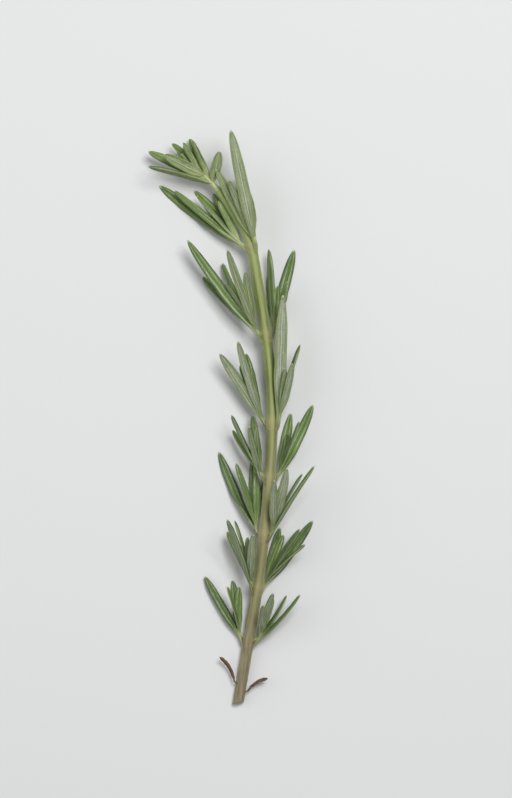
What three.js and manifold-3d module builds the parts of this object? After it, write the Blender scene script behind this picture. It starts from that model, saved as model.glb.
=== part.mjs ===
// Rosemary sprig, cut from its bush and lying on a table.
//
// One curved stem carries opposite pairs of leaf clusters. A cluster is a leaf with the short side shoot
// in its axil, and each pair stands a quarter turn round the stem from the pair below it. The end of the
// stem carries its youngest leaves, close together, and two withered leaves are left near the cut.
//
// Millimetres, +Z up. The table is at z = 0 and +Y runs along the sprig, from its cut end to its tip.
// The origin is under the middle of the sprig's box.

import * as THREE from "three";
import { mergeVertices } from "three/addons/utils/BufferGeometryUtils.js";
import Module from "manifold-3d";

const wasm = await Module();
wasm.setup();

// ---- driving dimensions ----

const STEM = {
  length: 148.5, // along the stem, from the cut to where the young leaves of the tip begin
  start: [1.94, -80.17], // x and y of the middle of the cut end
  heading: 9.5, // degrees to the right of +Y at the cut end
  bends: [
    // where each bend starts and ends along the stem, and its turn to the right in degrees
    [20, 60, -4.5],
    [60, 112, -14],
    [125, 137.5, -23.5],
    [140, 166, -28],
  ],
  lift: [0, 62, 5.6], // its leaves hold it off the table: from, to, and the rise
  radius: 1.5,
  tipRadius: 1.1,
  taper: [118, 148], // where it thins from one to the other
  squareness: 0.06, // how far its four corners stand out, as a share of the radius
  swelling: [0.28, 1.6], // the thickening at each pair of clusters: its height and half its length
  cutSlant: 0.35, // how far the cut runs along the stem for each millimetre across it
};

const LEAF = {
  thickness: 1.05,
  width: [2.05, 0.035], // a leaf's width: the least, and what each millimetre of its length adds
  neck: [0.34, 0.36], // the foot's share of the width, and where along the leaf the full width starts
  shoulder: 0.6, // where along the leaf its blunt tip starts
  tipRound: [2.1, 0.57], // the powers of the tip's outline: a circle has 2 and 0.5
  footThin: [0.7, 0.25], // the foot's share of the thickness, and where the full thickness starts
  tipThin: [0.65, 0.85], // the tip's share of the thickness, and where it starts to thin
  press: 0.32, // how far a leaf is pressed flat where it lies on the table
  settle: 1.1, // how gently it comes down to the table
  levelOff: [0.8, 2.6], // heights over the table where its upper face is turned right up, and not at all
};

const SIDE_SHOOT = {
  radius: 0.8,
  length: 3.6,
  splay: 20, // its angle from the stem, in degrees
  sunk: 0.5, // how far its foot is sunk into it, as a share of its radius
  firstLeaf: 0.3, // where its first leaf stands, as a share of the distance between two leaves
};
const TIP_SHOOT = { radius: 0.9, length: 7.5, breadth: 1.2 }; // its leaves are this much broader
const GAP = 0.35; // between neighbouring pieces

// ---- where the leaves grow ----
// A leaf is [length, splay, side, twist]: its length, its angle from the stem, the side of the stem that it
// stands on (0 right, 90 up, 180 left, 270 down) and how far its upper face is turned up, all in degrees
// but the length.

// The leaves of a plain cluster on one side of the stem: its own leaf, then shorter ones round it, most
// of them closer to the stem.
function cluster(side, length, splay, count) {
  const shares = [
    [1, 1, 0],
    [0.82, 0.6, 38],
    [0.74, 0.65, -38],
    [0.58, 0.35, 12],
    [0.66, 1.1, 66],
    [0.45, 0.2, -14],
  ];
  return shares
    .slice(0, count)
    .map(([size, lean, fan]) => [length * size, splay * lean, side + fan, 12]);
}

// Pairs of clusters from the cut end to the tip, each with its place along the stem. A pair's clusters are
// given as the side of the stem that they grow on and their leaves.
const PAIRS = [
  { at: 18, left: [198, cluster(195, 20, 42, 4)], right: [25, cluster(25, 19, 34, 5)] },
  { at: 33, left: [135, cluster(140, 23, 32, 6)], right: [315, cluster(325, 24, 38, 6)] },
  { at: 48, left: [222, cluster(212, 26, 38, 5)], right: [45, cluster(35, 25, 28, 6)] },
  {
    at: 64,
    left: [
      145,
      [
        [19.5, 33, 165, 0],
        [15.5, 27, 125, 0],
        [15, 44, 212, 20],
        [16, 22, 228, 10],
        [11, 12, 150, 0],
      ],
    ],
    right: [
      325,
      [
        [25, 27, 318, 10],
        [20, 20, 292, 0],
        [16, 17, 5, 0],
        [10, 14, 345, 0],
        [11, 12, 300, 0],
      ],
    ],
  },
  {
    at: 79.5,
    left: [
      200,
      [
        [23, 31, 172, -55],
        [24, 24, 138, -30],
        [16, 26, 215, 10],
        [20, 26, 240, 0],
        [13, 16, 195, 0],
      ],
    ],
    right: [
      50,
      [
        [36, 6, 70, 0],
        [30, 5, 330, 0],
        [21.5, 16, 0, 0],
        [16, 24, 62, 0],
        [13, 10, 45, 0],
      ],
    ],
  },
  {
    at: 104.3,
    left: [
      142,
      [
        [33.5, 30, 190, 45],
        [26.5, 22, 118, 0],
        [23, 21, 210, 10],
        [23, 40, 215, 10],
        [15, 22, 150, 0],
        [15.5, 9, 105, 0],
      ],
    ],
    right: [
      325,
      [
        [27, 30, 315, 10],
        [23, 4.5, 340, 0],
        [17, 20, 285, 0],
        [13, 25, 0, 0],
        [11, 22, 310, 0],
      ],
    ],
  },
  {
    at: 129.5,
    left: [
      205,
      [
        [31.5, 42.5, 213, 25],
        [25, 36, 190, 45],
        [18.5, 26, 200, 10],
        [22, 32, 222, 10],
        [16, 17, 225, 10],
        [12, 8, 190, 30],
      ],
    ],
    right: [
      62,
      [
        [33.5, 16, 78, 0],
        [23, 18, 135, -30],
        [18.5, 14, 120, 0],
        [19, 12, 290, 0],
        [13, 12, 60, 0],
      ],
    ],
  },
];

// The young leaves of the tip, in the order that they stand along it.
const TIP_LEAVES = [
  [19.7, 39, 162, 0],
  [10, 61, 31, -75],
  [14.5, 24, 312, 0],
  [19, 25, 190, 45],
  [11.5, 22, 350, 0],
  [14, 17, 142, -35],
  [13, 9, 308, 0],
  [11, 18, 275, 0],
  [9.5, 20, 28, 0],
  [10, 18, 195, 0],
  [8.5, 20, 345, 0],
  [6, 5, 40, 0],
];

const WITHERED = [
  { name: "withered_leaf_left", at: 6, leaf: [8, 42, 165, 0] },
  { name: "withered_leaf_right", at: 4, leaf: [6.5, 50, 15, 0] },
];
const WITHERED_LEAF = { width: 0.55, stand: 0.45 }; // its share of a fresh width, and its foot's height

// How far a leaf departs by chance from what its row says, and where the random series start.
const JITTER = { splay: 2.5, side: 6, twist: 14, bow: 0.035, width: 0.1 };
const SEEDS = { tip: 8, cluster: 21, withered: 41 };

// ---- materials ----

const finish = (color, roughness) =>
  new THREE.MeshStandardMaterial({ color, roughness, metalness: 0 });
const STEM_FINISH = finish(0x8e9c60, 0.75);
const LEAF_FINISH = finish(0x4f6a33, 0.5);
const WITHERED_FINISH = finish(0x6b5136, 0.9);

// ---- small helpers ----

const UP = new THREE.Vector3(0, 0, 1);
const radians = THREE.MathUtils.degToRad;
const ease = (from, to, x) => THREE.MathUtils.smoothstep(x, from, to);

// A fixed series of random numbers from -1 to 1, one series for each seed.
function series(seed) {
  let state = seed;
  return () => {
    state = (Math.imul(state, 1664525) + 1013904223) >>> 0;
    return state / 2 ** 31 - 1;
  };
}

// ---- the stem's line ----

const STEP = 0.5; // between the points that are worked out along the stem

function stemHeading(s) {
  const turned = STEM.bends.map(([from, to, turn]) => turn * ease(from, to, s));
  return radians(turned.reduce((sum, turn) => sum + turn, STEM.heading));
}

// Points along the middle of the stem, each a step on from the last in the stem's heading there.
const stemLine = [new THREE.Vector2(...STEM.start)];
for (let s = STEP / 2; s < STEM.length + TIP_SHOOT.length + 2; s += STEP) {
  const heading = stemHeading(s);
  const step = new THREE.Vector2(Math.sin(heading), Math.cos(heading)).multiplyScalar(STEP);
  stemLine.push(stemLine.at(-1).clone().add(step));
}

function stemPoint(s) {
  const place = THREE.MathUtils.clamp(s / STEP, 0, stemLine.length - 1.001);
  const before = Math.floor(place);
  const flat = stemLine[before].clone().lerp(stemLine[before + 1], place - before);
  const [from, to, rise] = STEM.lift;
  return new THREE.Vector3(flat.x, flat.y, STEM.radius + rise * ease(from, to, s));
}

// The stem's middle at s, and the directions along it, to its right and up from it.
function stemFrame(s) {
  const along = stemPoint(s + 1).sub(stemPoint(Math.max(s - 1, 0))).normalize();
  const right = new THREE.Vector3().crossVectors(along, UP).normalize();
  return { at: stemPoint(s), along, right, up: new THREE.Vector3().crossVectors(right, along) };
}

// The direction square to the stem on one side of it.
function outward(frame, side) {
  const angle = radians(side);
  return frame.right
    .clone()
    .multiplyScalar(Math.cos(angle))
    .addScaledVector(frame.up, Math.sin(angle));
}

function stemRadius(s) {
  const [height, reach] = STEM.swelling;
  const swell = Math.max(...PAIRS.map((pair) => Math.exp(-(((s - pair.at) / reach) ** 2))));
  return STEM.radius + (STEM.tipRadius - STEM.radius) * ease(...STEM.taper, s) + height * swell;
}

// ---- solids ----

// Moves every vertex of a closed geometry to where place puts it.
function bend(geometry, place) {
  geometry.deleteAttribute("normal");
  geometry.deleteAttribute("uv");
  const bent = mergeVertices(geometry, 1e-4);
  const spots = bent.attributes.position;
  for (let i = 0; i < spots.count; i++) {
    const spot = place(new THREE.Vector3().fromBufferAttribute(spots, i));
    spots.setXYZ(i, ...spot);
  }
  return bent;
}

function solidOf(geometry) {
  const mesh = new wasm.Mesh({
    numProp: 3,
    vertProperties: geometry.attributes.position.array,
    triVerts: new Uint32Array(geometry.index.array),
  });
  return new wasm.Manifold(mesh);
}

function meshOf(solid, name, material) {
  const { vertProperties, triVerts } = solid.getMesh();
  const geometry = new THREE.BufferGeometry();
  geometry.setAttribute("position", new THREE.BufferAttribute(vertProperties, 3));
  geometry.setIndex(new THREE.BufferAttribute(triVerts, 1));
  geometry.computeVertexNormals();
  const mesh = new THREE.Mesh(geometry, material);
  mesh.name = name;
  return mesh;
}

// The stem, or with a margin the space that its neighbours keep clear.
function stemSolid(margin) {
  const sides = 8;
  const stations = 70;
  const tube = bend(new THREE.CylinderGeometry(1, 1, 1, sides, stations), (v) => {
    const across = Math.hypot(v.x, v.z);
    const side = Math.atan2(v.z, v.x);
    const s = (v.y + 0.5) * (STEM.length + 2 * margin) - margin;
    const frame = stemFrame(s);
    const corner = 1 + STEM.squareness * Math.cos(4 * side);
    const radius = across * (stemRadius(s) * corner + margin);
    const slant = STEM.cutSlant * radius * Math.cos(side) * (1 - ease(0, 6, s));
    const spot = frame.at
      .addScaledVector(frame.right, radius * Math.cos(side))
      .addScaledVector(frame.up, radius * Math.sin(side))
      .addScaledVector(frame.along, slant + Math.min(s, 0));
    spot.z = Math.max(spot.z, -margin);
    return spot;
  });
  return solidOf(tube);
}

// A rounded shoot from a point along a direction, which leaves grow from.
function shootSolid(from, direction, { radius, length }) {
  const shoot = new THREE.CapsuleGeometry(radius, length, 2, 8);
  shoot.translate(0, length / 2, 0);
  shoot.applyQuaternion(new THREE.Quaternion().setFromUnitVectors(new THREE.Object3D().up, direction));
  return solidOf(bend(shoot, (v) => v.add(from)));
}

// ---- a leaf ----

// The leaf's section, from the middle of its upper face round to the right: a groove along the upper face,
// thick rolled edges and a midrib along the lower face. Shares of half the width and half the thickness.
const LEAF_SECTION = [
  [0, 0.55],
  [0.72, 0.95],
  [1, -0.85],
  [0, -0.7],
  [-1, -0.85],
  [-0.72, 0.95],
];
const LEAF_STATIONS = 6;
const CROWDING = 1.35; // more than 1 puts the stations closer together towards the tip
const NEARBY = 0.02; // how far apart two points are that give the leaf's direction, as shares of it

function leafHalfWidth(t, width) {
  const [foot, full] = LEAF.neck;
  const past = Math.max(0, (t - LEAF.shoulder) / (1 - LEAF.shoulder));
  const [power, root] = LEAF.tipRound;
  return (width / 2) * (foot + (1 - foot) * ease(0, full, t)) * (1 - past ** power) ** root;
}

function leafHalfThickness(t) {
  const [foot, full] = LEAF.footThin;
  const [tip, thinning] = LEAF.tipThin;
  const grown = foot + (1 - foot) * ease(0, full, t);
  return (LEAF.thickness / 2) * grown * (1 - (1 - tip) * ease(thinning, 1, t));
}

// A point on the leaf's middle line, kept off the table.
function leafSpine({ foot, heading, face, length, bow }, t) {
  const spot = foot
    .clone()
    .addScaledVector(heading, length * t)
    .addScaledVector(face, length * bow * 4 * t * (1 - t));
  const floor = LEAF.thickness / 2 - LEAF.press;
  spot.z = floor + LEAF.settle * Math.log1p(Math.exp((spot.z - floor) / LEAF.settle));
  return spot;
}

// A leaf as one solid. Where it lies on the table it turns its upper face up and lies flat.
function leafSolid(leaf) {
  const blade = bend(new THREE.ConeGeometry(1, 1, LEAF_SECTION.length, LEAF_STATIONS), (v) => {
    const t = 1 - (1 - ease(-0.5, 0.5, v.y)) ** CROWDING;
    const spot = leafSpine(leaf, t);
    const along = leafSpine(leaf, t + NEARBY).sub(leafSpine(leaf, t - NEARBY)).normalize();
    const face = leaf.face.clone().lerp(UP, 1 - ease(...LEAF.levelOff, spot.z));
    const across = new THREE.Vector3().crossVectors(along, face).normalize();
    face.crossVectors(across, along);
    const turn = Math.atan2(v.x, v.z) / (2 * Math.PI) + 1;
    const [wide, high] = LEAF_SECTION[Math.round(turn * LEAF_SECTION.length) % LEAF_SECTION.length];
    const inside = Math.hypot(v.x, v.z) < 1e-6 ? 0 : 1;
    spot.addScaledVector(across, inside * wide * leafHalfWidth(t, leaf.width));
    spot.addScaledVector(face, inside * high * leafHalfThickness(t));
    spot.z = Math.max(spot.z, 0);
    return spot;
  });
  return solidOf(blade);
}

// A leaf that grows from a foot, turned as its row says and a little by chance.
function growLeaf(frame, foot, [length, splay, side, twist], draw) {
  const lean = radians(splay + JITTER.splay * draw());
  const out = outward(frame, side + JITTER.side * draw());
  const heading = frame.along.clone().multiplyScalar(Math.cos(lean)).addScaledVector(out, Math.sin(lean));
  const face = frame.along.clone().multiplyScalar(Math.sin(lean)).addScaledVector(out, -Math.cos(lean));
  const upward = Math.sign(new THREE.Vector3().crossVectors(heading, face).z);
  face.applyAxisAngle(heading, radians(upward * twist + JITTER.twist * draw()));
  const [least, perLength] = LEAF.width;
  const width = (least + perLength * length) * (1 + JITTER.width * draw());
  return { foot, heading, face, length, width, bow: JITTER.bow * draw() };
}

// ---- the pieces ----

const stemSpace = stemSolid(GAP);

function clusterSolid(at, [side, leaves], seed) {
  const draw = series(seed);
  const frame = stemFrame(at);
  const out = outward(frame, side);
  const splay = radians(SIDE_SHOOT.splay);
  const axis = frame.along.clone().multiplyScalar(Math.cos(splay)).addScaledVector(out, Math.sin(splay));
  const standing = stemRadius(at) + GAP + SIDE_SHOOT.sunk * SIDE_SHOOT.radius;
  const start = frame.at.clone().addScaledVector(out, standing);
  const solids = leaves.map((row, i) => {
    const share = (i + SIDE_SHOOT.firstLeaf) / leaves.length;
    const foot = start.clone().addScaledVector(axis, SIDE_SHOOT.length * share);
    return leafSolid(growLeaf(frame, foot, row, draw));
  });
  return wasm.Manifold.union([shootSolid(start, axis, SIDE_SHOOT), ...solids]).subtract(stemSpace);
}

function tipSolid() {
  const draw = series(SEEDS.tip);
  const base = STEM.length + GAP + TIP_SHOOT.radius;
  const top = base + TIP_SHOOT.length;
  const axis = stemPoint(top).sub(stemPoint(base)).normalize();
  const solids = TIP_LEAVES.map((row, i) => {
    const frame = stemFrame(base + (TIP_SHOOT.length * i) / TIP_LEAVES.length);
    const leaf = growLeaf(frame, frame.at, row, draw);
    return leafSolid({ ...leaf, width: TIP_SHOOT.breadth * leaf.width });
  });
  return wasm.Manifold.union([shootSolid(stemPoint(base), axis, TIP_SHOOT), ...solids]).subtract(stemSpace);
}

function witheredSolid({ at, leaf }, seed) {
  const frame = stemFrame(at);
  const standing = stemRadius(at) + GAP + WITHERED_LEAF.stand;
  const foot = frame.at.clone().addScaledVector(outward(frame, leaf[2]), standing);
  const grown = growLeaf(frame, foot, leaf, series(seed));
  return leafSolid({ ...grown, width: WITHERED_LEAF.width * grown.width }).subtract(stemSpace);
}

const sprig = new THREE.Group();
sprig.name = "rosemary_sprig";
sprig.add(meshOf(stemSolid(0), "stem", STEM_FINISH));
PAIRS.forEach((pair, i) => {
  ["left", "right"].forEach((hand, k) => {
    const solid = clusterSolid(pair.at, pair[hand], SEEDS.cluster + 2 * i + k);
    sprig.add(meshOf(solid, `leaf_cluster_${i + 1}_${hand}`, LEAF_FINISH));
  });
});
sprig.add(meshOf(tipSolid(), "shoot_tip", LEAF_FINISH));
WITHERED.forEach((row, i) => {
  sprig.add(meshOf(witheredSolid(row, SEEDS.withered + i), row.name, WITHERED_FINISH));
});

export default sprig;
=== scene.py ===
"""Rosemary sprig lying on a table.

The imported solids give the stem, the leaf clusters, the shoot tip and the withered leaves their places.
This script grows the same sprig again from the same few dimensions, with fine leaves, a downy stem, a cut
end and their finishes, and replaces each solid by the piece that grows in its place.

Sprig sizes are in millimetres and degrees, as a grower would measure them. Meshes are in metres.
"""

import logging
import math
from collections.abc import Iterator, Sequence
from dataclasses import dataclass, fields, replace
from enum import Enum
from typing import Self

import bpy
import numpy as np
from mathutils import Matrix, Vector


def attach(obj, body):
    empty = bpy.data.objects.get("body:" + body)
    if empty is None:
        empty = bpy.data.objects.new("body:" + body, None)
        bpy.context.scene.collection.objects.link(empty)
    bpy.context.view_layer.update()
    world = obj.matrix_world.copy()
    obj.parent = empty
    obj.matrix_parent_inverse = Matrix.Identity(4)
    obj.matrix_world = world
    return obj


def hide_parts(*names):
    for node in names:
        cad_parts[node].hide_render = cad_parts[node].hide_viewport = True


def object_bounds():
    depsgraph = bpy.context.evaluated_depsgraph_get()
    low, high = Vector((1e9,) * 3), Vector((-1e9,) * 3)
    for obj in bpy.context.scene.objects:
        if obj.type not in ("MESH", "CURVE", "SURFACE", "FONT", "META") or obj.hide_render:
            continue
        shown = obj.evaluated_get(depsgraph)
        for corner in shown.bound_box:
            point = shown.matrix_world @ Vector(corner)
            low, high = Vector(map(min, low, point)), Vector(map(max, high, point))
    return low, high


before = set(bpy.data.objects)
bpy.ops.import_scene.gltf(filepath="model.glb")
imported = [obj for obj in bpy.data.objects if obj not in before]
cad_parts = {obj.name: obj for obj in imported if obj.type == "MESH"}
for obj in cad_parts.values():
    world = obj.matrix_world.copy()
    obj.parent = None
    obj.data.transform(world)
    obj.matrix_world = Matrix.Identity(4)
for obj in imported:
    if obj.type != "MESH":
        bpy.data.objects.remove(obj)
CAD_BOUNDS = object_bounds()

Array = np.ndarray
Colour = tuple[float, float, float, float]
Socket = bpy.types.NodeSocket
Feed = Socket | float | Colour
Pair = tuple[float, float]
LOG = logging.getLogger("rosemary_sprig")
MM = 0.001
UP = np.array([0.0, 0.0, 1.0])
MULTIPLIER, INCREMENT = 1664525, 1013904223
FIRST_SEED = 19


# ---------- small helpers ----------


def ease(low: float, high: float, x: Array | float) -> Array:
    """Rise smoothly from 0 at low to 1 at high: with q the share of the way, 3 q squared less 2 q cubed.

    Args:
        low: Where the rise starts.
        high: Where it ends.
        x: The places to work it out at.

    Returns:
        The height at each place.
    """
    share = np.clip((np.asarray(x, float) - low) / (high - low), 0.0, 1.0)
    return share * share * (3.0 - 2.0 * share)


def unit(vectors: Array) -> Array:
    """Return the vectors along the last axis at length 1."""
    return vectors / np.linalg.norm(vectors, axis=-1, keepdims=True)


def bell(x: Array) -> Array:
    """Return a bell over x: e to the power of less x squared."""
    return np.exp(-(x**2))


def beside(*numbers: Array | float) -> Array:
    """Spread numbers over each other's shapes and put them side by side on a last axis."""
    return np.stack(np.broadcast_arrays(*numbers), -1)


def draws(seed: int) -> Iterator[float]:
    """Yield a fixed series of random numbers from -1 to 1, one series for each seed.

    Each state is the one before times MULTIPLIER plus INCREMENT, kept to 32 bits.

    Args:
        seed: The number that the series starts from.

    Returns:
        The series, which doesn't end.
    """
    state = seed
    while True:
        state = (state * MULTIPLIER + INCREMENT) % 2**32
        yield state / 2**31 - 1.0


def linear(red: int, green: int, blue: int) -> Colour:
    """Turn a colour given in 0 to 255, as seen on a screen, into the linear colour that shaders use.

    Args:
        red: From 0 to 255.
        green: Likewise.
        blue: Likewise.

    Returns:
        Red, green, blue and full alpha, from 0 to 1.
    """
    shares = [channel / 255.0 for channel in (red, green, blue)]
    values = [c / 12.92 if c <= 0.04045 else ((c + 0.055) / 1.055) ** 2.4 for c in shares]
    return (*values, 1.0)


# ---------- closed surfaces ----------


@dataclass(frozen=True)
class Skin:
    """Closed surfaces as arrays.

    Attributes:
        points: One row of x, y, z for each vertex, in millimetres.
        quads: Rows of four vertex numbers.
        triangles: Rows of three vertex numbers.
        marks: Named rows of three numbers for each vertex, which the finishes read.
    """

    points: Array
    quads: Array
    triangles: Array
    marks: dict[str, Array]


def tubes(rings: Array, ends: Array, marks: dict[str, tuple[Array, Array]]) -> Skin:
    """Close many tubes at once, each a stack of rings between two end points, and none below the table.

    A ring runs from the top to the right, seen along the tube, so that every face points out.

    Args:
        rings: Points in the shape (tubes, rings, points around, 3).
        ends: The first and last point of each tube, in the shape (tubes, 2, 3).
        marks: For each name, numbers that fit the rings' shape and numbers that fit the ends'.

    Returns:
        All the tubes as one skin.
    """
    count, tall, around, _ = rings.shape
    own = tall * around + 2

    def flat(on_rings: Array, on_ends: Array) -> Array:
        """Lay the numbers out tube by tube: its first end, its rings and its last end.

        Args:
            on_rings: Numbers that fit the rings.
            on_ends: Numbers that fit the ends.

        Returns:
            One row for each point.
        """
        middle = np.broadcast_to(on_rings, rings.shape).reshape(count, tall * around, 3)
        outer = np.broadcast_to(on_ends, ends.shape)
        return np.concatenate([outer[:, :1], middle, outer[:, 1:]], axis=1).reshape(-1, 3)

    start = (np.arange(count) * own)[:, None]
    here = np.arange(around)
    following = (here + 1) % around
    lower = (1 + np.arange(tall - 1) * around)[:, None]
    upper = lower + around
    quad = np.stack([lower + here, lower + following, upper + following, upper + here], -1)
    quads = (start[:, :, None] + quad.reshape(1, -1, 4)).reshape(-1, 4)
    top = 1 + (tall - 1) * around
    first = np.stack([np.zeros(around, int), 1 + following, 1 + here], -1)
    last = np.stack([np.full(around, own - 1), top + here, top + following], -1)
    triangles = (start[:, :, None] + np.concatenate([first, last])[None]).reshape(-1, 3)
    points = flat(rings, ends)
    points[:, 2] = np.maximum(points[:, 2], 0.0)
    return Skin(points, quads, triangles, {name: flat(*pair) for name, pair in marks.items()})


def joined(skins: Sequence[Skin]) -> Skin:
    """Put several skins with the same marks into one.

    Args:
        skins: The skins.

    Returns:
        All their surfaces.
    """
    starts = np.cumsum([0] + [len(skin.points) for skin in skins[:-1]])
    return Skin(
        np.concatenate([skin.points for skin in skins]),
        np.concatenate([skin.quads + start for skin, start in zip(skins, starts)]),
        np.concatenate([skin.triangles + start for skin, start in zip(skins, starts)]),
        {name: np.concatenate([skin.marks[name] for skin in skins]) for name in skins[0].marks},
    )


def make_piece(
    name: str, skin: Skin, material: bpy.types.Material, slot: str, *nodes: str
) -> bpy.types.Object:
    """Make a smooth mesh object from a skin, with its marks as attributes, and fit it into the frame.

    Args:
        name: The object's name.
        skin: The surfaces, in millimetres.
        material: The finish of all of it.
        slot: The record's material slot of the piece; not used.
        *nodes: The solids that it replaces.

    Returns:
        The object, at the origin, with its place in its mesh.
    """
    mesh = bpy.data.meshes.new(name)
    quads, triangles = len(skin.quads), len(skin.triangles)
    corners = np.concatenate([skin.quads.ravel(), skin.triangles.ravel()])
    starts = np.concatenate([np.arange(quads) * 4, quads * 4 + np.arange(triangles) * 3])
    mesh.vertices.add(len(skin.points))
    mesh.vertices.foreach_set("co", (skin.points * MM).ravel())
    mesh.loops.add(len(corners))
    mesh.loops.foreach_set("vertex_index", corners)
    mesh.polygons.add(len(starts))
    mesh.polygons.foreach_set("loop_start", starts)
    mesh.update(calc_edges=True)
    for mark, values in skin.marks.items():
        mesh.attributes.new(mark, "FLOAT_VECTOR", "POINT").data.foreach_set("vector", values.ravel())
    mesh.shade_smooth()
    mesh.validate()
    mesh.materials.append(material)
    piece = bpy.data.objects.new(name, mesh)
    bpy.context.scene.collection.objects.link(piece)
    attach(piece, "root")
    if nodes:
        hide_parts(*nodes)
    return piece


# ---------- how the sprig grows ----------


class Hand(Enum):
    """The side of the stem that a cluster is named for, seen from above with the tip away."""

    LEFT = "left"
    RIGHT = "right"


@dataclass(frozen=True)
class Leaf:
    """One leaf's place on its shoot.

    Attributes:
        length: From foot to tip.
        splay: Degrees between the leaf and the stem.
        side: The side of the stem it stands on, in degrees: 0 right, 90 up, 180 left and 270 down.
        twist: Degrees that its upper face is turned up.
    """

    length: float
    splay: float
    side: float
    twist: float


# For each leaf of a plain cluster, from the outside in: a share of the length, a share of the splay and an
# angle round the stem.
PLAIN_ROWS = (
    (1.0, 1.0, 0.0),
    (0.82, 0.6, 38.0),
    (0.74, 0.65, -38.0),
    (0.58, 0.35, 12.0),
    (0.66, 1.1, 66.0),
    (0.45, 0.2, -14.0),
)


def plain_cluster(side: float, length: float, splay: float, count: int, twist: float = 12.0) -> list[Leaf]:
    """Set out a plain cluster: its own leaf, then shorter ones round it, most of them nearer the stem.

    Args:
        side: The side of the stem that the cluster is on, in degrees.
        length: The longest leaf.
        splay: That leaf's angle from the stem.
        count: How many leaves.
        twist: How far their upper faces are turned up, in degrees.

    Returns:
        The leaves from the outside of the cluster in.
    """
    return [Leaf(length * size, splay * lean, side + fan, twist) for size, lean, fan in PLAIN_ROWS[:count]]


def leaves(*rows: tuple[float, float, float, float]) -> list[Leaf]:
    """Turn rows of length, splay, side and twist into leaves."""
    return [Leaf(*row) for row in rows]


@dataclass(frozen=True)
class Cluster:
    """A leaf cluster: where it grows and what grows in it.

    Attributes:
        order: The number of its pair, counted from the cut end.
        hand: Which of the pair it is.
        at: Its place along the stem.
        side: The side of the stem that its side shoot stands on, in degrees.
        leaves: Its leaves.
    """

    order: int
    hand: Hand
    at: float
    side: float
    leaves: list[Leaf]

    @property
    def node(self) -> str:
        """The name of the solid in the frame."""
        return f"leaf_cluster_{self.order}_{self.hand.value}"

    @property
    def seed(self) -> int:
        """The start of the cluster's own random series."""
        return FIRST_SEED + 2 * self.order + (self.hand is Hand.RIGHT)


# For each pair of clusters, from the cut end up: its place along the stem, and for the left and the right
# cluster the side of the stem that its shoot stands on, and its leaves from the outside in.
PAIRS: list[tuple[float, tuple[float, list[Leaf]], tuple[float, list[Leaf]]]] = [
    (18.0, (198, plain_cluster(195, 20, 42, 4)), (25, plain_cluster(25, 19, 34, 5))),
    (33.0, (135, plain_cluster(140, 23, 32, 6)), (315, plain_cluster(325, 24, 38, 6))),
    (48.0, (222, plain_cluster(212, 26, 38, 5)), (45, plain_cluster(35, 25, 28, 6))),
    (
        64.0,
        (145, leaves((19.5, 33, 165, 0), (15.5, 27, 125, 0), (15, 44, 212, 20), (16, 22, 228, 10),
                     (11, 12, 150, 0))),
        (325, leaves((25, 27, 318, 10), (20, 20, 292, 0), (16, 17, 5, 0), (10, 14, 345, 0),
                     (11, 12, 300, 0))),
    ),
    (
        79.5,
        (200, leaves((23, 31, 172, -55), (24, 24, 138, -30), (16, 26, 215, 10), (20, 26, 240, 0),
                     (13, 16, 195, 0))),
        (50, leaves((36, 6, 70, 0), (30, 5, 330, 0), (21.5, 16, 0, 0), (16, 24, 62, 0),
                    (13, 10, 45, 0))),
    ),
    (
        104.3,
        (142, leaves((33.5, 30, 190, 45), (26.5, 22, 118, 0), (23, 21, 210, 10), (23, 40, 215, 10),
                     (15, 22, 150, 0), (15.5, 9, 105, 0))),
        (325, leaves((27, 30, 315, 10), (23, 4.5, 340, 0), (17, 20, 285, 0), (13, 25, 0, 0),
                     (11, 22, 310, 0))),
    ),
    (
        129.5,
        (205, leaves((31.5, 42.5, 213, 25), (25, 36, 190, 45), (18.5, 26, 200, 10), (22, 32, 222, 10),
                     (16, 17, 225, 10), (12, 8, 190, 30))),
        (62, leaves((33.5, 16, 78, 0), (23, 18, 135, -30), (18.5, 14, 120, 0), (19, 12, 290, 0),
                    (13, 12, 60, 0))),
    ),
]

# From the foot of the tip up.
TIP_LEAVES = leaves(
    (19.7, 39, 162, 0), (10, 61, 31, -75), (14.5, 24, 312, 0), (19, 25, 190, 45), (11.5, 22, 350, 0),
    (14, 17, 142, -35), (13, 9, 308, 0), (11, 18, 275, 0), (9.5, 20, 28, 0), (10, 18, 195, 0),
    (8.5, 20, 345, 0), (6, 5, 40, 0),
)

# For each dead leaf, its solid's name, its place along the stem, the leaf and its seed.
WITHERED_LEAVES = (
    ("withered_leaf_left", 6.0, Leaf(8, 42, 165, 0), 41),
    ("withered_leaf_right", 4.0, Leaf(6.5, 50, 15, 0), 42),
)


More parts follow.
